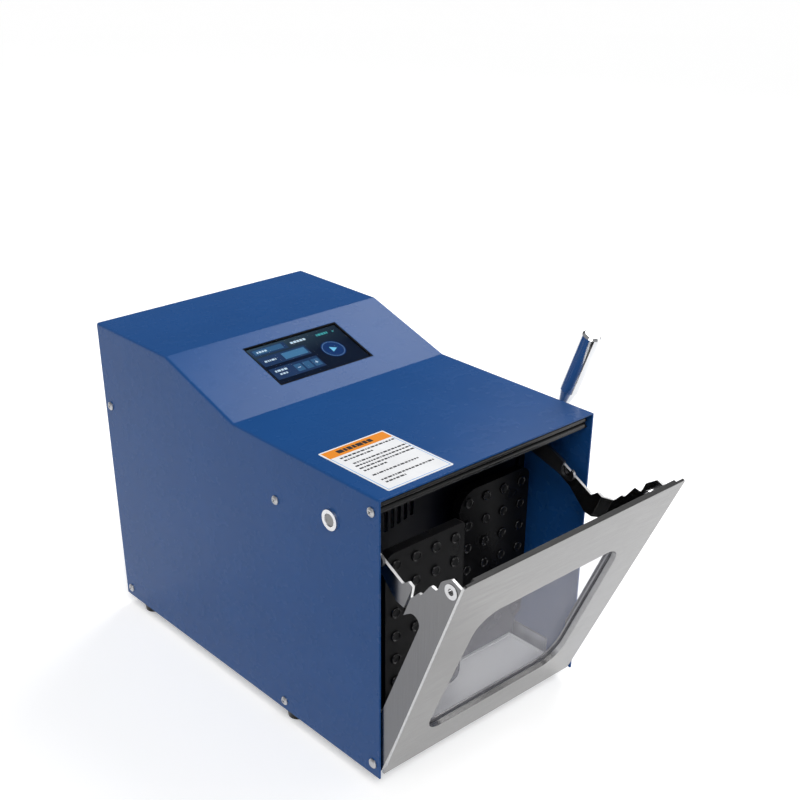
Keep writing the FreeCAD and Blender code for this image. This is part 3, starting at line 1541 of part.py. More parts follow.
def power_switch():
    """The rocker switch beside the inlet: a frame and the rocker that tilts in it."""
    frame = new_body("switch_body")
    flange = new_sketch(frame, "XZ_Plane", "-(rear_face)")
    across = "switch_half_width + switch_margin"
    upward = "switch_half_height + switch_margin"
    draw_box(flange, f"switch_x - ({across})", f"switch_x + {across}",
             f"inlet_z - ({upward})", f"inlet_z + {upward}")
    extrude(frame, flange, "switch_flange", backwards=True)
    case = new_sketch(frame, "XZ_Plane", "-(rear_face)")
    draw_box(case, "switch_x - switch_half_width", "switch_x + switch_half_width",
             "inlet_z - switch_half_height", "inlet_z + switch_half_height")
    extrude(frame, case, "switch_depth")
    well = new_sketch(frame, "XZ_Plane", "-(rear_face + switch_flange)")
    draw_box(well, "switch_x + switch_wall - switch_half_width",
             "switch_x + switch_half_width - switch_wall",
             "inlet_z + switch_wall - switch_half_height",
             "inlet_z + switch_half_height - switch_wall")
    cut_depth(frame, well, "switch_flange + switch_depth - switch_wall", backwards=True)
    keep(frame, "switch_frame")
    rocker = new_body("rocker_body")
    section = new_sketch(rocker, "YZ_Plane")
    draw_outline(section, [
        ("-rocker_back", "-rocker_back_z"),
        ("rocker_end_y", "-rocker_end_z"),
        ("rocker_valley", "0"),
        ("rocker_end_y", "rocker_end_z"),
        ("-rocker_back", "rocker_back_z"),
    ])
    extrude(rocker, section, "2 * (switch_half_width - switch_wall - rocker_fit)", side="Symmetric")
    keep(rocker, "power_rocker", "rocker")


def build():
    cover()
    base_pan()
    rear_panel()
    chamber_wall()
    floor_tray()
    feet()
    cover_screws()
    seal_parts()
    instruction_label()
    touch_screen()
    door_panel()
    door_strip()
    door_window()
    lock_shaft()
    lever()
    drive_case()
    drive_bracket()
    drive_motor()
    motor_cowl()
    electronics_box("power_supply", "supply", "-supply_left")
    electronics_box("motor_driver", "driver", "driver_left")
    power_inlet()
    power_switch()
    for side in SIDES:
        hinge_pin(side)
        door_arm(side)
        latch_stud(side)
        shaft_bush(side)
        crank(side)
        paddle(side)
        push_rod(side)
        rod_bush(side)


def write_parts():
    """Check every object and write one STEP file for each sub-part."""
    document.recompute()
    for thing in document.Objects:
        if {"Invalid", "Error"} & set(thing.State):
            raise ValueError(f"{thing.Name} is {thing.State}")
    os.makedirs("parts", exist_ok=True)
    for thing in parts:
        if thing.Shape.isNull() or not thing.Shape.isValid():
            raise ValueError(f"{thing.Label} has no valid shape")
        thing.Shape.exportStep(f"parts/{thing.Label}.step")
        print(thing.Label, len(thing.Shape.Solids), round(thing.Shape.Volume))


build()
write_parts()
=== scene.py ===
import json
import math
import random

import bmesh
import bpy
from mathutils import Matrix, Vector


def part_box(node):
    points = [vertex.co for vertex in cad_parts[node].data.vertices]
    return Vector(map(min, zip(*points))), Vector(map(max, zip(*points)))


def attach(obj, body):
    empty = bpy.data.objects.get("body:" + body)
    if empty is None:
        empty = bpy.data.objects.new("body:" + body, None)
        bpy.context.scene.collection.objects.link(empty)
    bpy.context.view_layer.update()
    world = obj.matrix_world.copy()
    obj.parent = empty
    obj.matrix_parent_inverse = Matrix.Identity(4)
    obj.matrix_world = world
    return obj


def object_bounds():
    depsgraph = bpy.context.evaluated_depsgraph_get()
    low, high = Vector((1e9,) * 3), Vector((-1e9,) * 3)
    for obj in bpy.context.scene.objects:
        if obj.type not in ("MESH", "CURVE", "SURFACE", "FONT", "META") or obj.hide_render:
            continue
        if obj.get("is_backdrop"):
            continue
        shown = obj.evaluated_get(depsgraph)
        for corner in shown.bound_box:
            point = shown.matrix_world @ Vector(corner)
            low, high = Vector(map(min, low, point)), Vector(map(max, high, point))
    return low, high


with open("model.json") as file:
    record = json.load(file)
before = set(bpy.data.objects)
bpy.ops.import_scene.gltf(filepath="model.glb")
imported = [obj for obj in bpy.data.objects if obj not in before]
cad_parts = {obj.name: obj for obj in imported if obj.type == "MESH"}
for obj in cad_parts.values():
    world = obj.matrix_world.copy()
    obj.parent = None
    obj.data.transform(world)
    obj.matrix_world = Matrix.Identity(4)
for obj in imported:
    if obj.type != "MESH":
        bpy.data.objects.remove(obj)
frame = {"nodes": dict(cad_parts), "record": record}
NODES = frame["nodes"]
CAD_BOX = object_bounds()

# Lengths are in millimetres until they are placed.
MM = 0.001
UP = Vector((0, 0, 1))
RIGHT = Vector((1, 0, 0))
REAR = Vector((0, 1, 0))
# the open door leans forward from its hinges
DOOR_LEAN = math.radians(22.5)
DOOR_NORMAL = Vector((0, -math.cos(DOOR_LEAN), math.sin(DOOR_LEAN)))

# The photograph's view: place in metres, turn in degrees, lens and sensor in millimetres
CAMERA_PLACE = (-0.655013, -0.747290, 0.690967)
CAMERA_TURN = (60.7167, -0.0567, -41.7014)
CAMERA_LENS = 55.78
CAMERA_SENSOR = 36
CAMERA_SHIFT = (0.0183, 0.1669)

# Light and floor
SUN_TOWARDS = (-0.28, -0.52, 0.81)
SUN_STRENGTH = 1.6
SUN_SPREAD = 35
SUN_DISTANCE = 1000
PANEL_DISTANCE = 2000
# direction, size and power of the soft panels: one over the slope, one low on the right
PANELS = {
    "over_slope": ((0.57, 0.20, 0.795), 1150, 16.5),
    "low_right": ((0.82, -0.56, 0.10), 1200, 13),
}
# the sky's strength near the floor and overhead, and the upward shares of the view between which it
# changes
SKY_LOW = 0.72
SKY_HIGH = 0.36
SKY_LOW_SHARE = 0.05
SKY_HIGH_SHARE = 0.30
# a dark flag behind the machine keeps its flat top free of glare: its direction, how much light it
# leaves, and how near to its middle it starts and is full
FLAG_TOWARDS = (0.56, 0.64, 0.53)
FLAG_SHADE = 0.12
FLAG_EDGE_SHARE = 0.86
FLAG_FULL_SHARE = 0.96
FLOOR_SIZE = 12000
FLOOR_DROP = 0.2
FLOOR_WHITE = 0.92
FLOOR_GLOW = 0.30

# Colours of the printed and lit places
LABEL_ORANGE = (0.86, 0.27, 0.008)
LABEL_INK = (0.014, 0.014, 0.020)
LABEL_BORDER = (0.20, 0.42, 0.78)
SCREEN_UNLIT = (0.002, 0.003, 0.005)
SCREEN_NAVY = (0.0016, 0.0055, 0.019)
SCREEN_TEAL = (0.040, 0.080, 0.115)
SCREEN_BAR = (0.035, 0.12, 0.26)
SCREEN_FIELD = (0.060, 0.20, 0.38)
SCREEN_DIM = (0.016, 0.042, 0.12)
SCREEN_WHITE = (0.62, 0.80, 0.95)
SCREEN_GREEN = (0.06, 0.42, 0.45)
SCREEN_RING = (0.006, 0.034, 0.15)
SCREEN_LINE = (0.20, 0.40, 0.72)
SCREEN_CYAN = (0.20, 0.66, 0.95)
# what is left of the display's teal lift at its right edge
DISPLAY_RIGHT_SHARE = 0.2

# Texture sizes
# CLOUD, SHEEN and GRAIN are the sizes of marks in colour, roughness and relief. RELIEF is the depth
# of the bumps, EDGE the radius that softens edges, and SPREAD the change of roughness each way.
# most values of a noise lie between these
NOISE_LOW = 0.3
NOISE_HIGH = 0.7
# how closely a softened edge and an open face match the true normal
EDGE_MATCH = 0.93
FACE_MATCH = 0.995
COAT_CLOUD = 60
COAT_GRAIN = 1.1
COAT_SHEEN = 14
COAT_RELIEF = 0.0007
COAT_EDGE = 0.8
COAT_SPREAD = 0.012
COAT_CONTRAST = 0.03
# the size of lighter places on an edge, partly rubbed paint and partly a painted highlight, how much of them
# shows, and the grey under the paint that they lighten towards
RUB_AND_HIGHLIGHT_GRAIN = 7
RUB_AND_HIGHLIGHT_SHARE = 0.6
RUB_AND_HIGHLIGHT_GREY = 0.35
BRUSH_GRAIN = 0.5
BRUSH_STRETCH = 60
BRUSH_SHEEN = 9
BRUSH_RELIEF = 0.0018
BRUSH_EDGE = 0.25
BRUSH_SPREAD = 0.02
# how squarely a cut edge at most, and an open face at least, looks along the sheet's normal
CUT_FACING = 0.35
SHEET_FACING = 0.6
# the grain, colours and metal share of cut edges: partly a ground finish, partly a painted highlight
GROUND_AND_HIGHLIGHT_GRAIN = 1.2
GROUND_AND_HIGHLIGHT_DARK = (0.62, 0.62, 0.63)
GROUND_AND_HIGHLIGHT_PALE = (0.80, 0.80, 0.80)
GROUND_AND_HIGHLIGHT_METAL = 0.3
ZINC_CLOUD = 16
TURN_GRAIN = 0.35
TURN_STRETCH = 30
TURN_CLOUD = 12
TURN_SHEEN = 4
TURN_RELIEF = 0.004
TURN_EDGE = 0.2
TURN_TONE_SHARES = (0.94, 1.03)
TURN_SHEEN_SHARES = (0.8, 1.25)
POLISH_CLOUD = 25
POLISH_SHEEN = 6
POLISH_GRAIN = 3
POLISH_RELIEF = 0.002
POLISH_EDGE = 0.4
DIE_GRAIN = 0.6
DIE_STRETCH = 60
DIE_RELIEF = 0.006
DIE_EDGE = 0.3
FILM_CLOUD = 18
FILM_SHEEN = 5
FILM_GRAIN = 0.8
FILM_RELIEF = 0.004
FILM_EDGE = 0.1
INK_GRAIN = 1.2
INK_SHEEN = 4
INK_DARK_SHARE = 0.88
GLASS_CLOUD = 20
GLASS_SHEEN = 9
PANE_CLOUD = 40
PANE_SHEEN = 12
PIXEL_GRAIN = 0.5
PIXEL_DARK_SHARE = 0.85
MOULD_FLOW = 35
MOULD_SPREAD = 0.05
# grain, relief and edge of what comes from a mould
MOULDS = {
    "plain": (0.45, 0.02, 0.6),
    "plastic": (0.45, 0.008, 0.6),
    "rubber": (0.3, 0.006, 0.6),
    "silicone": (0.5, 0.003, 0.6),
    "gloss": (1.5, 0.003, 0.15),
    "paddle": (0.6, 0.006, 0.5),
    "crown": (0.8, 0.002, 0.2),
    "cast": (1.2, 0.06, 0.6),
}


# Materials


class Finish:
    """A shader whose colour, roughness and relief come from textures in the part's own space."""

    def __init__(self, name, metallic=0.0, specular=0.5):
        self.material = bpy.data.materials.new(name)
        self.material.use_nodes = True
        self.tree = self.material.node_tree
        self.shader = self.tree.nodes["Principled BSDF"]
        self.set("Metallic", metallic)
        self.set("Specular IOR Level", specular)
        self.space = self.add("ShaderNodeTexCoord").outputs["Object"]

    def feed(self, socket, value):
        if isinstance(value, bpy.types.NodeSocket):
            self.tree.links.new(value, socket)
        else:
            socket.default_value = value

    def add(self, kind, settings=None, **inputs):
        node = self.tree.nodes.new(kind)
        for name, value in (settings or {}).items():
            setattr(node, name, value)
        for name, value in inputs.items():
            self.feed(node.inputs[name.replace("_", " ")], value)
        return node

    def set(self, name, value):
        self.feed(self.shader.inputs[name], value)

    def noise(self, size, detail, stretch=(1, 1, 1)):
        """Noise with features of about one size, drawn out along the stretched axes."""
        scale = [1 / (size * MM * share) for share in stretch]
        place = self.add("ShaderNodeMapping", Vector=self.space, Scale=scale)
        grain = self.add("ShaderNodeTexNoise", Vector=place.outputs["Vector"], Scale=1.0, Detail=detail)
        return grain.outputs["Fac"]

    def span(self, factor, low, high, start=NOISE_LOW, end=NOISE_HIGH):
        """Stretch a factor's range to values from low to high."""
        node = self.add("ShaderNodeMapRange", Value=factor, From_Min=start, From_Max=end,
                        To_Min=low, To_Max=high)
        return node.outputs["Result"]

    def blend(self, factor, first, second):
        """Colours from first to second as the factor grows."""
        node = self.add("ShaderNodeMixRGB", Fac=factor)
        for name, colour in (("Color1", first), ("Color2", second)):
            self.feed(node.inputs[name], colour if isinstance(colour, bpy.types.NodeSocket) else (*colour, 1))
        return node.outputs["Color"]

    def colour(self, factor, first, second):
        self.set("Base Color", self.blend(self.span(factor, 0, 1), first, second))

    def roughness(self, factor, low, high):
        self.set("Roughness", self.span(factor, low, high))

    def relief(self, height, depth, edge):
        """Bumps of a depth over edges softened by a radius. Gives the softened normal."""
        soft = self.add("ShaderNodeBevel", Radius=edge * MM)
        bump = self.add("ShaderNodeBump", Strength=1.0, Distance=depth * MM, Height=height,
                        Normal=soft.outputs["Normal"])
        self.set("Normal", bump.outputs["Normal"])
        return soft.outputs["Normal"]

    def edge_mask(self, soft):
        """1 on edges that the softening rounds, 0 on open faces."""
        face = self.add("ShaderNodeNewGeometry").outputs["Normal"]
        match = self.add("ShaderNodeVectorMath", {"operation": "DOT_PRODUCT"})
        self.feed(match.inputs[0], soft)
        self.feed(match.inputs[1], face)
        return self.span(match.outputs["Value"], 1, 0, EDGE_MATCH, FACE_MATCH)


def shade(colour, share):
    return tuple(channel * share for channel in colour)


def powder_coat(name, colour, roughness, specular, rub_and_highlight=0.12):
    """Smooth baked paint: fine orange peel, faint clouds, and edges a little lighter, partly rubbed paint and
    partly a painted highlight.
    """
    finish = Finish(name, specular=specular)
    clouds = finish.noise(COAT_CLOUD, 2)
    peel = finish.noise(COAT_GRAIN, 1)
    soft = finish.relief(peel, COAT_RELIEF, COAT_EDGE)
    body = finish.blend(finish.span(clouds, 0, 1), shade(colour, 1 - COAT_CONTRAST),
                        shade(colour, 1 + COAT_CONTRAST))
    # edges lighten towards a grey: partly rubbed paint, partly a painted highlight
    rubbed_and_highlit = tuple(channel + rub_and_highlight * (RUB_AND_HIGHLIGHT_GREY - channel) for channel in colour)
    mask = finish.edge_mask(soft)
    worn_and_highlit = finish.add("ShaderNodeMath", {"operation": "MULTIPLY"})
    finish.feed(worn_and_highlit.inputs[0], mask)
    finish.feed(worn_and_highlit.inputs[1], finish.span(finish.noise(RUB_AND_HIGHLIGHT_GRAIN, 3), 0, RUB_AND_HIGHLIGHT_SHARE))
    finish.set("Base Color", finish.blend(worn_and_highlit.outputs["Value"], body, rubbed_and_highlit))
    finish.roughness(finish.noise(COAT_SHEEN, 2), roughness - COAT_SPREAD, roughness + COAT_SPREAD)
    return finish


def brush(finish, roughness, grain_axis):
    """Brush a finish along one axis, and give the noise of its lines."""
    stretch = [1, 1, 1]
    stretch["xyz".index(grain_axis)] = BRUSH_STRETCH
    lines = finish.noise(BRUSH_GRAIN, 3, stretch)
    finish.roughness(finish.noise(BRUSH_SHEEN, 2), roughness - BRUSH_SPREAD, roughness + BRUSH_SPREAD)
    finish.relief(lines, BRUSH_RELIEF, BRUSH_EDGE)
    return lines


def brushed(name, colour, roughness, grain_axis, contrast):
    """Metal with fine lines drawn out along one axis."""
    finish = Finish(name, metallic=1.0)
    lines = brush(finish, roughness, grain_axis)
    finish.colour(lines, shade(colour, 1 - contrast), shade(colour, 1 + contrast))
    return finish


def cut_sheet(name, colour, roughness, grain_axis, across, contrast):
    """Brushed sheet metal whose cut edges are paler and scatter light: partly a ground finish, partly a
    painted highlight.
    """
    finish = brushed(name, colour, roughness, grain_axis, contrast)
    match = finish.add("ShaderNodeVectorMath", {"operation": "DOT_PRODUCT"})
    finish.feed(match.inputs[0], finish.add("ShaderNodeTexCoord").outputs["Normal"])
    finish.feed(match.inputs[1], Vector(across).normalized())
    flat = finish.add("ShaderNodeMath", {"operation": "ABSOLUTE"})
    finish.feed(flat.inputs[0], match.outputs["Value"])
    cut = finish.span(flat.outputs["Value"], 1, 0, CUT_FACING, SHEET_FACING)
    sheet = finish.shader.inputs["Base Color"].links[0].from_socket
    # cut edges get a pale, half-metallic grey: partly a ground finish, partly a painted highlight
    ground_and_highlit = finish.blend(finish.span(finish.noise(GROUND_AND_HIGHLIGHT_GRAIN, 2), 0, 1), GROUND_AND_HIGHLIGHT_DARK, GROUND_AND_HIGHLIGHT_PALE)
    finish.set("Base Color", finish.blend(cut, sheet, ground_and_highlit))
    finish.set("Metallic", finish.span(cut, 1, GROUND_AND_HIGHLIGHT_METAL, 0, 1))
    return finish


def turned(name, colour, roughness, axis="x"):
    """Lathe-turned metal with fine rings about an axis."""
    finish = Finish(name, metallic=1.0)
    stretch = [TURN_STRETCH, TURN_STRETCH, TURN_STRETCH]
    stretch["xyz".index(axis)] = 1
    rings = finish.noise(TURN_GRAIN, 2, stretch)
    dark, pale = TURN_TONE_SHARES
    finish.colour(finish.noise(TURN_CLOUD, 2), shade(colour, dark), shade(colour, pale))
    glossy, dull = TURN_SHEEN_SHARES
    finish.roughness(finish.noise(TURN_SHEEN, 3), roughness * glossy, roughness * dull)
    finish.relief(rings, TURN_RELIEF, TURN_EDGE)
    return finish


def moulded(name, colour, roughness, mould="plain", specular=0.5, contrast=0.12):
    """Plastic, rubber or a casting from a mould: a fine even texture with slight flow marks."""
    grain, depth, edge = MOULDS[mould]
    finish = Finish(name, specular=specular)
    texture = finish.noise(grain, 3)
    flow = finish.noise(MOULD_FLOW, 2)
    finish.colour(flow, shade(colour, 1 - contrast), shade(colour, 1 + contrast))
    finish.roughness(flow, roughness - MOULD_SPREAD, roughness + MOULD_SPREAD)
    finish.relief(texture, depth, edge)
    return finish


def glowing(name):
    """A dark surface that shows by its own light."""
    finish = Finish(name, specular=0.0)
    finish.set("Base Color", (*SCREEN_UNLIT, 1))
    finish.set("Roughness", 0.3)
    finish.set("Emission Strength", 1.0)
    return finish


def blue_paint():
    return powder_coat("blue_paint", (0.010, 0.069, 0.236), 0.27, 0.17)


def grey_zinc():
    """Coated sheet with pale spangles."""
    finish = Finish("grey_zinc", metallic=1.0)
    brush(finish, 0.36, "y")
    finish.colour(finish.noise(ZINC_CLOUD, 4), (0.34, 0.35, 0.37), (0.48, 0.49, 0.51))
    return finish


def black_paint():
    return powder_coat("black_paint", (0.0022, 0.0028, 0.0072), 0.42, 0.15, rub_and_highlight=0.05)


def white_plastic():
    return moulded("white_plastic", (0.92, 0.925, 0.93), 0.4, "plastic", contrast=0.02)


def black_rubber():
    return moulded("black_rubber", (0.0055, 0.0055, 0.006), 0.30, "rubber", specular=0.28)


def rim_rubber():
    """The window seal is a pale silicone."""
    return moulded("rim_rubber", (0.52, 0.52, 0.53), 0.3, "silicone")


def steel_screw():
    return turned("steel_screw", (0.50, 0.50, 0.51), 0.34)


def recess_shadow():
    return moulded("recess_shadow", (0.06, 0.062, 0.066), 0.5)


def black_extrusion():
    """Black anodised profile with faint die lines along x."""
    finish = Finish("black_extrusion", specular=0.28)
    lines = finish.noise(DIE_GRAIN, 2, (DIE_STRETCH, 1, 1))
    finish.colour(lines, (0.006, 0.006, 0.0065), (0.010, 0.010, 0.011))
    finish.roughness(lines, 0.26, 0.36)
    finish.relief(lines, DIE_RELIEF, DIE_EDGE)
    return finish


def label_print():
    """White printed film with a trace of paper tone."""
    finish = Finish("label_print", specular=0.35)
    finish.colour(finish.noise(FILM_CLOUD, 3), (0.80, 0.81, 0.83), (0.87, 0.88, 0.90))
    finish.roughness(finish.noise(FILM_SHEEN, 2), 0.36, 0.46)
    finish.relief(finish.noise(FILM_GRAIN, 2), FILM_RELIEF, FILM_EDGE)
    return finish


def printed(name, colour):
    """Ink on the label's film."""
    finish = Finish(name, specular=0.3)
    finish.colour(finish.noise(INK_GRAIN, 3), shade(colour, INK_DARK_SHARE), colour)
    finish.roughness(finish.noise(INK_SHEEN, 2), 0.38, 0.5)
    return finish


def black_gloss():
    return moulded("black_gloss", (0.002, 0.002, 0.003), 0.35, "gloss", specular=0.02)


def screen_glass():
    """Clear glass: only its reflections show over the display."""
    finish = Finish("screen_glass", specular=0.1)
    finish.colour(finish.noise(GLASS_CLOUD, 2), (0.004, 0.006, 0.010), (0.006, 0.009, 0.014))
    finish.roughness(finish.noise(GLASS_SHEEN, 3), 0.10, 0.16)
    finish.set("Alpha", 0.05)
    return finish


def display():
    """A lit panel: navy that lifts towards its upper left."""
    finish = glowing("display")
    place = finish.add("ShaderNodeSeparateXYZ", Vector=finish.space)
    low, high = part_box("display_module")
    middle_y = (low.y + high.y) / 2
    mix = finish.add("ShaderNodeMath", {"operation": "MULTIPLY"})
    finish.feed(mix.inputs[0], finish.span(place.outputs["X"], 1, DISPLAY_RIGHT_SHARE, low.x, high.x))
    finish.feed(mix.inputs[1], finish.span(place.outputs["Y"], 0, 1, middle_y, high.y))
    finish.set("Emission Color", finish.blend(mix.outputs["Value"], SCREEN_NAVY, SCREEN_TEAL))
    return finish


def lit(name, colour):
    """A lit patch of the display, with a fine pixel grain."""
    finish = glowing(name)
    pixels = finish.span(finish.noise(PIXEL_GRAIN, 1), 0, 1)
    finish.set("Emission Color", finish.blend(pixels, shade(colour, PIXEL_DARK_SHARE), colour))
    return finish


def circuit_board():
    return moulded("circuit_board", (0.02, 0.10, 0.04), 0.35)


def stainless_sheet():
    return cut_sheet("stainless_sheet", (0.24, 0.237, 0.236), 0.21, "x", DOOR_NORMAL, 0.14)


def tinted_pane():
    """A thin tinted window that most light passes."""
    finish = Finish("tinted_pane")
    finish.colour(finish.noise(PANE_CLOUD, 2), (0.60, 0.60, 0.68), (0.66, 0.66, 0.74))
    finish.roughness(finish.noise(PANE_SHEEN, 3), 0.04, 0.09)
    finish.set("Alpha", 0.16)
    return finish


def stainless_arm():
    return cut_sheet("stainless_arm", (0.19, 0.19, 0.195), 0.24, "z", RIGHT, 0.06)


def stainless_turned():
    return turned("stainless_turned", (0.66, 0.66, 0.67), 0.22)


def shaft_end():
    """The faced end of the lock shaft, in a darker copy of its turned steel: a painted shade."""
    return turned("shaft_end", (0.24, 0.24, 0.24), 0.35)


def crank_steel():
    return brushed("crank_steel", (0.20, 0.20, 0.21), 0.35, "y", 0.05)


def bush_brass():
    return turned("bush_brass", (0.62, 0.42, 0.16), 0.3, "y")


def bush_steel():
    return turned("bush_steel", (0.74, 0.74, 0.75), 0.28)


def polished_steel():
    finish = Finish("polished_steel", metallic=1.0)
    finish.colour(finish.noise(POLISH_CLOUD, 2), (0.60, 0.61, 0.63), (0.70, 0.71, 0.73))
    finish.roughness(finish.noise(POLISH_SHEEN, 3), 0.10, 0.16)
    finish.relief(finish.noise(POLISH_GRAIN, 2), POLISH_RELIEF, POLISH_EDGE)
    return finish


def paddle_black():
    return moulded("paddle_black", (0.0030, 0.0030, 0.0036), 0.30, "paddle", specular=0.08)


def crown_black():
    """The rims of the paddles' crowns are rubbed glossy by the bags."""
    return moulded("crown_black", (0.0030, 0.0030, 0.0036), 0.17, "crown", specular=0.4)


def cast_metal():
    return moulded("cast_metal", (0.38, 0.38, 0.39), 0.45, "cast")


def motor_grey():
    return powder_coat("motor_grey", (0.05, 0.052, 0.056), 0.45, 0.4)


def black_plastic():
    return moulded("black_plastic", (0.012, 0.012, 0.013), 0.3, "plastic")


SLOT_FINISHES = (
    blue_paint, grey_zinc, black_paint, white_plastic, black_rubber, steel_screw, black_extrusion,
    label_print, black_gloss, screen_glass, display, circuit_board, stainless_sheet, tinted_pane,
    stainless_arm, stainless_turned, crank_steel, bush_brass, bush_steel, polished_steel, paddle_black,
    cast_metal, motor_grey, black_plastic,
)


def dress_nodes():
    """Give each node the finish of its slot in the record, and the window's seal its own."""
    finishes = {make.__name__: make().material for make in SLOT_FINISHES}
    for row in frame["record"]["subparts"]:
        node = NODES[row["node"]]
        node.data.materials.clear()
        node.data.materials.append(finishes[row["material_slot"]])
    NODES["window_gasket"].material_slots[0].material = rim_rubber().material


# Small geometry

# a face whose normal comes this near to a direction looks along it
FACE_FACING = 0.9
CAP_FACING = 0.999
# how far out of line the corners of one face and the caps of one group may lie
FACE_WITHIN = 0.01
CAP_WITHIN = 0.05
# the faces of one screw's cap lie nearer together than this
CAP_REACH = 8
DISC_SIDES = 48
SMOOTH_ANGLE = 40
# how far print stands off what carries it, in layers
PRINT_LIFT = 0.05
MIDDLE_LIFT = 2 * PRINT_LIFT
TOP_LIFT = 3 * PRINT_LIFT
# least and greatest length of a dash
WORD_SHARES = (0.5, 1.5)


def add_piece(name, mesh, material, body):
    """Turn a bmesh into a piece that rides on a body."""
    data = bpy.data.meshes.new(name)
    mesh.to_mesh(data)
    mesh.free()
    data.materials.append(material)
    piece = bpy.data.objects.new(name, data)
    bpy.context.scene.collection.objects.link(piece)
    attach(piece, body)
    return piece


def box_corners(points):
    """The low and the high corner of the box round some points."""
    low = Vector([min(point[axis] for point in points) for axis in range(3)])
    high = Vector([max(point[axis] for point in points) for axis in range(3)])
    return low, high


def plane_axes(middle, normal, across):
    """The matrix of a plane: across, up and out of it."""
    upward = normal.cross(across).normalized()
    axes = Matrix((across.normalized(), upward, normal.normalized())).transposed().to_4x4()
    return Matrix.Translation(middle) @ axes


def node_face(node, towards):
    """The plane of a node's largest flat face towards a direction, and the face's width and height."""
    data = NODES[node].data
    way = Vector(towards).normalized()
    facing = (face for face in data.polygons if face.normal.dot(way) > FACE_FACING)
    largest = max(facing, key=lambda face: face.area)
    normal = largest.normal.copy()
    reach = largest.center.dot(normal)
    corners = [corner.co for corner in data.vertices
               if abs(corner.co.dot(normal) - reach) < FACE_WITHIN * MM]
    axes = plane_axes(sum(corners, Vector()) / len(corners), normal, RIGHT)
    low, high = box_corners([axes.inverted() @ corner for corner in corners])
    return axes @ Matrix.Translation((low + high) / 2), high.x - low.x, high.y - low.y


def add_plate(mesh, axes, left, right, low, high, thick):
    """A thin plate on a plane, between edges measured from its middle in metres."""
    size = Matrix.Diagonal((right - left, high - low, thick, 1))
    middle = Matrix.Translation(((left + right) / 2, (low + high) / 2, thick / 2))
    bmesh.ops.create_cube(mesh, size=1, matrix=axes @ middle @ size)


def add_disc(mesh, axes, radius, lift):
    """A flat disc held a little off a plane."""
    bmesh.ops.create_circle(mesh, cap_ends=True, segments=DISC_SIDES, radius=radius,
                            matrix=axes @ Matrix.Translation((0, 0, lift)))


def turn_profile(mesh, axes, profile, sides):
    """Turn a profile of radius and height about a plane's normal."""
    rings = []
    for radius, height in profile:
        rings.append([
            mesh.verts.new(axes @ Vector((radius * math.cos(turn), radius * math.sin(turn), height)))
            for turn in (math.tau * side / sides for side in range(sides))
        ])
    for first, second in zip(rings, rings[1:]):
        for side in range(sides):
            after = (side + 1) % sides
            mesh.faces.new((first[side], first[after], second[after], second[side]))
    mesh.faces.new(rings[-1])


def smooth(piece):
    for face in piece.data.polygons:
        face.use_smooth = True
    piece.data.set_sharp_from_angle(angle=math.radians(SMOOTH_ANGLE))


def share_edges(shares, width, height):
    """Left, right, low and high edges, measured from a face's middle, from shares of the face."""
    left, right, low, high = shares
    return (left - 0.5) * width, (right - 0.5) * width, (low - 0.5) * height, (high - 0.5) * height


def share_place(axes, shares, width, height):
    """A plane moved to a place that is given in shares of a face."""
    across, up = shares
    return axes @ Matrix.Translation(((across - 0.5) * width, (up - 0.5) * height, 0))


def dashes(source, left, right, word, gap):
    """Short strokes of uneven length between two places."""
    place = left
    while place < right:
        stop = min(place + word * source.uniform(*WORD_SHARES), right)
        yield place, stop
        place = stop + gap


# The touch screen's picture

SCREEN_TOWARDS = (0, -1, 3)
# colour, then left, right, low and high shares of the display
ROW_BAR_SHARES = (
    ("dim", 0.03, 0.40, 0.79, 0.96),
    ("bar", 0.05, 0.36, 0.82, 0.94),
    ("dim", 0.03, 0.54, 0.50, 0.74),
    ("field", 0.27, 0.52, 0.54, 0.70),
    ("dim", 0.03, 0.55, 0.13, 0.42),
    ("bar", 0.27, 0.345, 0.18, 0.36),
    ("bar", 0.365, 0.44, 0.18, 0.36),
    ("bar", 0.46, 0.535, 0.18, 0.36),
)
DASH_ROW_SHARES = (
    ("white", 0.08, 0.19, 0.855, 0.895),
    ("white", 0.07, 0.19, 0.60, 0.64),
    ("white", 0.07, 0.20, 0.31, 0.355),
    ("white", 0.09, 0.17, 0.225, 0.26),
    ("white", 0.45, 0.62, 0.85, 0.90),
    ("green", 0.74, 0.87, 0.85, 0.90),
    ("green", 0.92, 0.935, 0.85, 0.88),
)
SCREEN_SEED = 3
SCREEN_WORD = 2.2
SCREEN_GAP = 0.9
# the middles of the minus and the plus button, and the half length and half width of a stroke
MINUS_SHARES = (0.3075, 0.27)
PLUS_SHARES = (0.4975, 0.27)
MARK_REACH = 1.5
MARK_LINE = 0.35
# the start ring's middle, its disc, its circle of square ticks with half the side of a tick, and its
# play mark with the mark's corners as shares of its size
RING_SHARES = (0.763, 0.45)
DISC_RADIUS = 11.8
RING_RADIUS = 10.4
RING_LINE = 0.36
RING_TICKS = 40
PLAY_SIZE = 4.2
PLAY_SHARES = ((-0.6, -0.9), (1, 0), (-0.6, 0.9))


def screen_finishes():
    return {
        "bar": lit("lit_bar", SCREEN_BAR).material,
        "dim": lit("lit_dim", SCREEN_DIM).material,
        "field": lit("lit_field", SCREEN_FIELD).material,
        "white": lit("lit_white", SCREEN_WHITE).material,
        "green": lit("lit_green", SCREEN_GREEN).material,
        "ring": lit("lit_ring", SCREEN_RING).material,
        "line": lit("lit_line", SCREEN_LINE).material,
        "cyan": lit("lit_cyan", SCREEN_CYAN).material,
    }


def screen_piece(name, kind, mesh, finishes):
    add_piece(f"screen_{name}", mesh, finishes[kind], "housing")


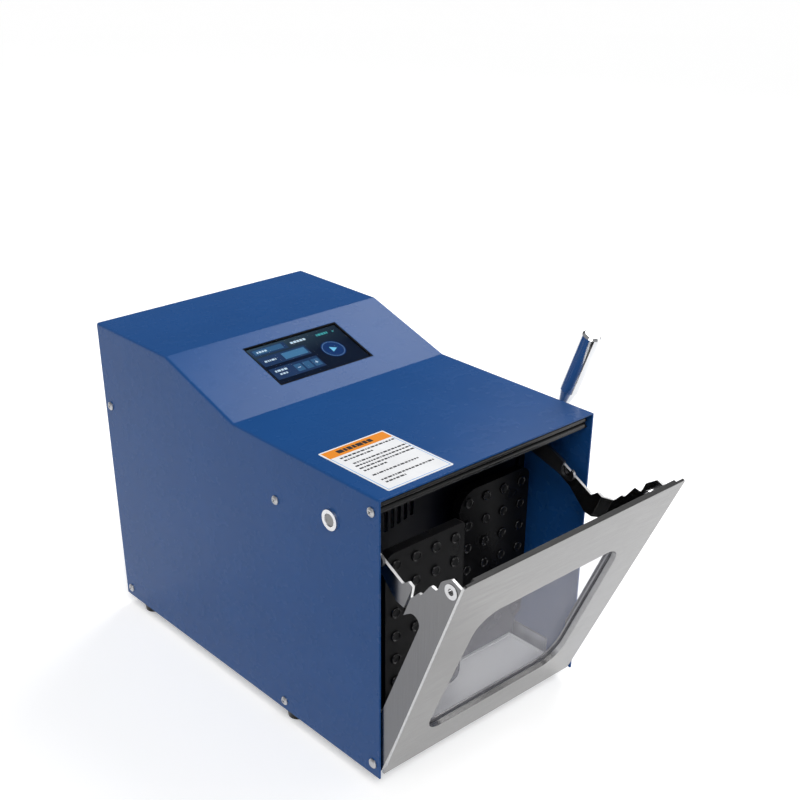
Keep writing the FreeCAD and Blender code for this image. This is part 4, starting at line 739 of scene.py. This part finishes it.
def screen_bars(face, finishes):
    """Bars and buttons, each on its dim ground."""
    axes, width, height = face
    for number, (kind, *shares) in enumerate(ROW_BAR_SHARES, start=1):
        mesh = bmesh.new()
        lift = PRINT_LIFT if kind == "dim" else MIDDLE_LIFT
        add_plate(mesh, axes, *share_edges(shares, width, height), lift * MM)
        screen_piece(f"bar_{number}", kind, mesh, finishes)


def screen_dashes(face, finishes):
    """Rows of dashes, the white ones first."""
    axes, width, height = face
    source = random.Random(SCREEN_SEED)
    for kind in ("white", "green"):
        mesh = bmesh.new()
        for row_kind, *shares in DASH_ROW_SHARES:
            if row_kind != kind:
                continue
            left, right, low, high = share_edges(shares, width, height)
            for start, stop in dashes(source, left, right, SCREEN_WORD * MM, SCREEN_GAP * MM):
                add_plate(mesh, axes, start, stop, low, high, TOP_LIFT * MM)
        screen_piece(f"dashes_{kind}", kind, mesh, finishes)


def button_marks(face, finishes):
    """A minus and a plus: one stroke and two."""
    axes, width, height = face
    mesh = bmesh.new()
    for shares, strokes in ((MINUS_SHARES, 1), (PLUS_SHARES, 2)):
        middle = share_place(axes, shares, width, height)
        for stroke in range(strokes):
            place = middle @ Matrix.Rotation(math.pi / 2 * stroke, 4, "Z")
            add_plate(mesh, place, -MARK_REACH * MM, MARK_REACH * MM, -MARK_LINE * MM, MARK_LINE * MM,
                      TOP_LIFT * MM)
    screen_piece("button_marks", "white", mesh, finishes)


def start_ring(face, finishes):
    """A disc with a circle of ticks and a play mark."""
    axes, width, height = face
    middle = share_place(axes, RING_SHARES, width, height)
    disc = bmesh.new()
    add_disc(disc, middle, DISC_RADIUS * MM, PRINT_LIFT * MM)
    screen_piece("ring_disc", "ring", disc, finishes)
    line = bmesh.new()
    radius, half = RING_RADIUS * MM, RING_LINE * MM
    for number in range(RING_TICKS):
        turn = middle @ Matrix.Rotation(math.tau * number / RING_TICKS, 4, "Z")
        add_plate(line, turn, radius - half, radius + half, -half, half, MIDDLE_LIFT * MM)
    screen_piece("ring_line", "line", line, finishes)
    play = bmesh.new()
    corners = [middle @ Vector((across * PLAY_SIZE * MM, up * PLAY_SIZE * MM, MIDDLE_LIFT * MM))
               for across, up in PLAY_SHARES]
    play.faces.new([play.verts.new(corner) for corner in corners])
    screen_piece("play_mark", "cyan", play, finishes)


def screen_picture():
    """The lit picture lies just over the display."""
    face = node_face("display_module", SCREEN_TOWARDS)
    finishes = screen_finishes()
    screen_bars(face, finishes)
    screen_dashes(face, finishes)
    button_marks(face, finishes)
    start_ring(face, finishes)


# The label's print

# the band's height as a share of the label's length
HEADER_SHARE = 0.145
BORDER_GAP = 1.6
BORDER_LINE = 0.7
LABEL_SEED = 5
INK_HIGH = 2.0
INK_WORD = 2.6
INK_GAP = 0.9
HEADER_WORD = 4.6
HEADER_HIGH = 5.2
# distance from the rear edge, start and end, as shares of the label
HEADER_ROW_SHARES = (0.092, 0.20, 0.74)
TEXT_ROW_SHARES = (
    (0.215, 0.12, 0.95), (0.275, 0.12, 0.55),
    (0.375, 0.15, 0.96), (0.435, 0.12, 0.96), (0.495, 0.12, 0.96), (0.555, 0.12, 0.46),
    (0.675, 0.12, 0.82),
    (0.795, 0.12, 0.93), (0.855, 0.12, 0.42),
)


def label_piece(name, mesh, material):
    add_piece(f"label_{name}", mesh, material, "housing")


def label_band(face, lift):
    """The coloured band along the rear edge, inside the border."""
    axes, width, length = face
    inside = BORDER_GAP * MM
    top = length / 2 - inside
    mesh = bmesh.new()
    add_plate(mesh, axes, inside - width / 2, width / 2 - inside, top - HEADER_SHARE * length, top, lift)
    label_piece("band", mesh, printed("label_orange", LABEL_ORANGE).material)


def label_border(face, lift):
    """A thin line round the label."""
    axes, width, length = face
    side = width / 2 - BORDER_GAP * MM
    end = length / 2 - BORDER_GAP * MM
    line = BORDER_LINE * MM
    mesh = bmesh.new()
    for low, high in ((-end, line - end), (end - line, end)):
        add_plate(mesh, axes, -side, side, low, high, lift)
    for left, right in ((-side, line - side), (side - line, side)):
        add_plate(mesh, axes, left, right, -end, end, lift)
    label_piece("border", mesh, printed("label_blue", LABEL_BORDER).material)


def add_dash_row(mesh, face, row_shares, source, word, high, lift):
    """One row of dashes on the label, from shares of its length and width."""
    axes, width, length = face
    down, start, end = row_shares
    middle = length / 2 - down * length
    half = high / 2 * MM
    for first, last in dashes(source, (start - 0.5) * width, (end - 0.5) * width, word * MM, INK_GAP * MM):
        add_plate(mesh, axes, first, last, middle - half, middle + half, lift)


def label_picture():
    """An orange band with long dashes, a thin border and rows of short dashes."""
    face = node_face("instruction_label", UP)
    lift = PRINT_LIFT * MM
    label_band(face, lift)
    label_border(face, lift / 2)
    source = random.Random(LABEL_SEED)
    ink = printed("label_ink", LABEL_INK).material
    rows = bmesh.new()
    for row_shares in TEXT_ROW_SHARES:
        add_dash_row(rows, face, row_shares, source, INK_WORD, INK_HIGH, lift)
    label_piece("rows", rows, ink)
    title = bmesh.new()
    add_dash_row(title, face, HEADER_ROW_SHARES, source, HEADER_WORD, HEADER_HIGH, 2 * lift)
    label_piece("title", title, ink)


# Screw recesses

# half the length of a cross's bars, their width, height and turns
COVER_RECESS_REACH = 1.7
INLET_RECESS_REACH = 1.8
RECESS_WIDTH = 0.7
RECESS_LIFT = 0.04
RECESS_TURNS = (45, 135)


def cap_places(node, way):
    """The middles of the flat caps of a group of screws that face one way."""
    data = NODES[node].data
    faces = [face for face in data.polygons if face.normal.dot(way) > CAP_FACING]
    farthest = max(face.center.dot(way) for face in faces)
    groups = []
    for face in faces:
        if farthest - face.center.dot(way) > CAP_WITHIN * MM:
            continue
        for group in groups:
            if (group[0] - face.center).length < CAP_REACH * MM:
                break
        else:
            group = []
            groups.append(group)
        group.extend(data.vertices[index].co for index in face.vertices)
    return [sum(box_corners(group), Vector()) / 2 for group in groups]


def cross_recess(name, node, way, across, reach, material):
    """A dark cross on each screw of a group."""
    mesh = bmesh.new()
    half = RECESS_WIDTH / 2 * MM
    for middle in cap_places(node, way):
        axes = plane_axes(middle, way, across)
        for angle in RECESS_TURNS:
            turned_axes = axes @ Matrix.Rotation(math.radians(angle), 4, "Z")
            add_plate(mesh, turned_axes, -reach * MM, reach * MM, -half, half, RECESS_LIFT * MM)
    add_piece(name, mesh, material, "housing")


def screw_recesses():
    shadow = recess_shadow().material
    cross_recess("cover_recesses_left", "cover_screws", -RIGHT, REAR, COVER_RECESS_REACH, shadow)
    cross_recess("cover_recesses_right", "cover_screws", RIGHT, REAR, COVER_RECESS_REACH, shadow)
    cross_recess("inlet_recesses", "inlet_screws", REAR, RIGHT, INLET_RECESS_REACH, shadow)


# Paddle crowns and the shaft's end

# the grid of bumps on a paddle, its distance from the paddle's edges, and the bumps' height
BUMP_COLUMNS = 4
BUMP_ROWS = 7
BUMP_INSET_X = 10.75
BUMP_INSET_Z = 11.5
BUMP_HEIGHT = 1
# a crown's outer radius, its rounded rim's radius and height, the height of its dip's floor, and the
# width of the slope from the rim down to that floor
CROWN_OUTER = 4.9
CROWN_RIM = 4.2
CROWN_TOP = 1.75
CROWN_DIP = 1.05
CROWN_WALL = 1.3
CROWN_STEPS = 6
CROWN_SIDES = 32
# faces that look forward as squarely as this lie in a dip
DIP_FACING = 0.95
SHAFT_FACE_RADIUS = 4.7


def crown_profile():
    """From the foot over the rounded rim down into the dip: radius and height."""
    profile = []
    for step in range(CROWN_STEPS + 1):
        turn = math.pi / 2 * step / CROWN_STEPS
        profile.append((CROWN_RIM + (CROWN_OUTER - CROWN_RIM) * math.cos(turn), CROWN_TOP * math.sin(turn)))
    for step in range(1, CROWN_STEPS + 1):
        turn = math.pi * step / CROWN_STEPS
        drop = (CROWN_TOP - CROWN_DIP) * (1 - math.cos(turn)) / 2
        profile.append((CROWN_RIM - CROWN_WALL * step / CROWN_STEPS, CROWN_TOP - drop))
    return [(radius * MM, height * MM) for radius, height in profile]


def paddle_crowns(side, glossy):
    """Rimmed crowns over a paddle's bumps, glossy but for the faces in their dips."""
    node = f"paddle_{side}"
    low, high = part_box(node)
    front = low.y + BUMP_HEIGHT * MM
    step_x = (high.x - low.x - 2 * BUMP_INSET_X * MM) / (BUMP_COLUMNS - 1)
    step_z = (high.z - low.z - 2 * BUMP_INSET_Z * MM) / (BUMP_ROWS - 1)
    mesh = bmesh.new()
    profile = crown_profile()
    for column in range(BUMP_COLUMNS):
        for level in range(BUMP_ROWS):
            x = low.x + BUMP_INSET_X * MM + column * step_x
            z = low.z + BUMP_INSET_Z * MM + level * step_z
            turn_profile(mesh, plane_axes(Vector((x, front, z)), -REAR, RIGHT), profile, CROWN_SIDES)
    crowns = add_piece(f"crowns_{side}", mesh, glossy, f"{side}_paddle")
    crowns.data.materials.append(NODES[node].data.materials[0])
    for face in crowns.data.polygons:
        face.material_index = 1 if face.normal.dot(-REAR) > DIP_FACING else 0
    smooth(crowns)


def shaft_end_face():
    """The faced end of the lock shaft, inside its chamfer."""
    low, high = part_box("lock_shaft")
    middle = (low + high) / 2
    axes = plane_axes(Vector((low.x, middle.y, middle.z)), -RIGHT, REAR)
    mesh = bmesh.new()
    add_disc(mesh, axes, SHAFT_FACE_RADIUS * MM, PRINT_LIFT * MM)
    # the flat end is a darker copy of the shaft's steel: painted shade
    add_piece("shaft_end_face", mesh, shaft_end().material, "door_lock")


# Stage


def add_floor():
    """A white floor that looks white to the eye, in metal and through glass, and keeps the shadow."""
    mesh = bmesh.new()
    bmesh.ops.create_grid(mesh, size=FLOOR_SIZE / 2 * MM)
    data = bpy.data.meshes.new("floor")
    mesh.to_mesh(data)
    mesh.free()
    floor = bpy.data.objects.new("floor", data)
    floor.location.z = -FLOOR_DROP * MM
    bpy.context.scene.collection.objects.link(floor)
    finish = Finish("floor", specular=0.0)
    finish.set("Base Color", (FLOOR_WHITE, FLOOR_WHITE, FLOOR_WHITE, 1))
    finish.set("Roughness", 1.0)
    ray = finish.add("ShaderNodeLightPath")
    seen = ray.outputs["Is Camera Ray"]
    for name in ("Is Glossy Ray", "Is Transmission Ray"):
        either = finish.add("ShaderNodeMath", {"operation": "MAXIMUM"})
        finish.feed(either.inputs[0], seen)
        finish.feed(either.inputs[1], ray.outputs[name])
        seen = either.outputs["Value"]
    finish.set("Emission Color", (1, 1, 1, 1))
    finish.set("Emission Strength", finish.span(seen, 0, FLOOR_GLOW, 0, 1))
    data.materials.append(finish.material)
    floor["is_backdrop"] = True


def sky_span(tree, value, start, end, low, high):
    """Stretch a value between two limits to strengths from low to high."""
    span = tree.nodes.new("ShaderNodeMapRange")
    tree.links.new(value, span.inputs["Value"])
    for name, limit in (("From Min", start), ("From Max", end), ("To Min", low), ("To Max", high)):
        span.inputs[name].default_value = limit
    return span.outputs["Result"]


def add_sky():
    """A studio that is pale near the floor, greyer overhead and dark where the flag hangs."""
    world = bpy.data.worlds.new("studio")
    bpy.context.scene.world = world
    world.use_nodes = True
    tree = world.node_tree
    way = tree.nodes.new("ShaderNodeTexCoord").outputs["Generated"]
    split = tree.nodes.new("ShaderNodeSeparateXYZ")
    tree.links.new(way, split.inputs["Vector"])
    level = sky_span(tree, split.outputs["Z"], SKY_LOW_SHARE, SKY_HIGH_SHARE, SKY_LOW, SKY_HIGH)
    near_flag = tree.nodes.new("ShaderNodeVectorMath")
    near_flag.operation = "DOT_PRODUCT"
    tree.links.new(way, near_flag.inputs[0])
    near_flag.inputs[1].default_value = Vector(FLAG_TOWARDS).normalized()
    open_share = sky_span(tree, near_flag.outputs["Value"], FLAG_EDGE_SHARE, FLAG_FULL_SHARE, 1, FLAG_SHADE)
    strength = tree.nodes.new("ShaderNodeMath")
    strength.operation = "MULTIPLY"
    tree.links.new(level, strength.inputs[0])
    tree.links.new(open_share, strength.inputs[1])
    tree.links.new(strength.outputs["Value"], tree.nodes["Background"].inputs["Strength"])
    tree.nodes["Background"].inputs["Color"].default_value = (1, 1, 1, 1)


def aim(lamp, towards, distance):
    """Hang a lamp in a direction from the part's origin, and turn it there."""
    way = Vector(towards).normalized()
    lamp.location = way * distance * MM
    lamp.rotation_euler = way.to_track_quat("Z", "Y").to_euler()
    bpy.context.scene.collection.objects.link(lamp)


def add_lamps():
    sun = bpy.data.lights.new("key", "SUN")
    sun.energy = SUN_STRENGTH
    sun.angle = math.radians(SUN_SPREAD)
    aim(bpy.data.objects.new("key", sun), SUN_TOWARDS, SUN_DISTANCE)
    for name, (towards, size, power) in PANELS.items():
        panel = bpy.data.lights.new(name, "AREA")
        panel.shape = "SQUARE"
        panel.size = size * MM
        panel.energy = power
        lamp = bpy.data.objects.new(name, panel)
        lamp.visible_camera = False
        aim(lamp, towards, PANEL_DISTANCE)


def add_camera():
    data = bpy.data.cameras.new("camera")
    data.sensor_width = CAMERA_SENSOR
    data.lens = CAMERA_LENS
    data.shift_x, data.shift_y = CAMERA_SHIFT
    camera = bpy.data.objects.new("camera", data)
    camera.location = CAMERA_PLACE
    camera.rotation_euler = [math.radians(angle) for angle in CAMERA_TURN]
    bpy.context.scene.collection.objects.link(camera)
    bpy.context.scene.camera = camera


def write_sizes():
    boxes = {"cad": CAD_BOX, "visual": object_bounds()}
    {name: [list(corner) for corner in box] for name, box in boxes.items()}


bpy.context.scene.view_settings.view_transform = "Standard"
dress_nodes()
screen_picture()
label_picture()
screw_recesses()
crown_finish = crown_black().material
for side in ("left", "right"):
    paddle_crowns(side, crown_finish)
shaft_end_face()
add_floor()
add_sky()
add_lamps()
add_camera()
write_sizes()
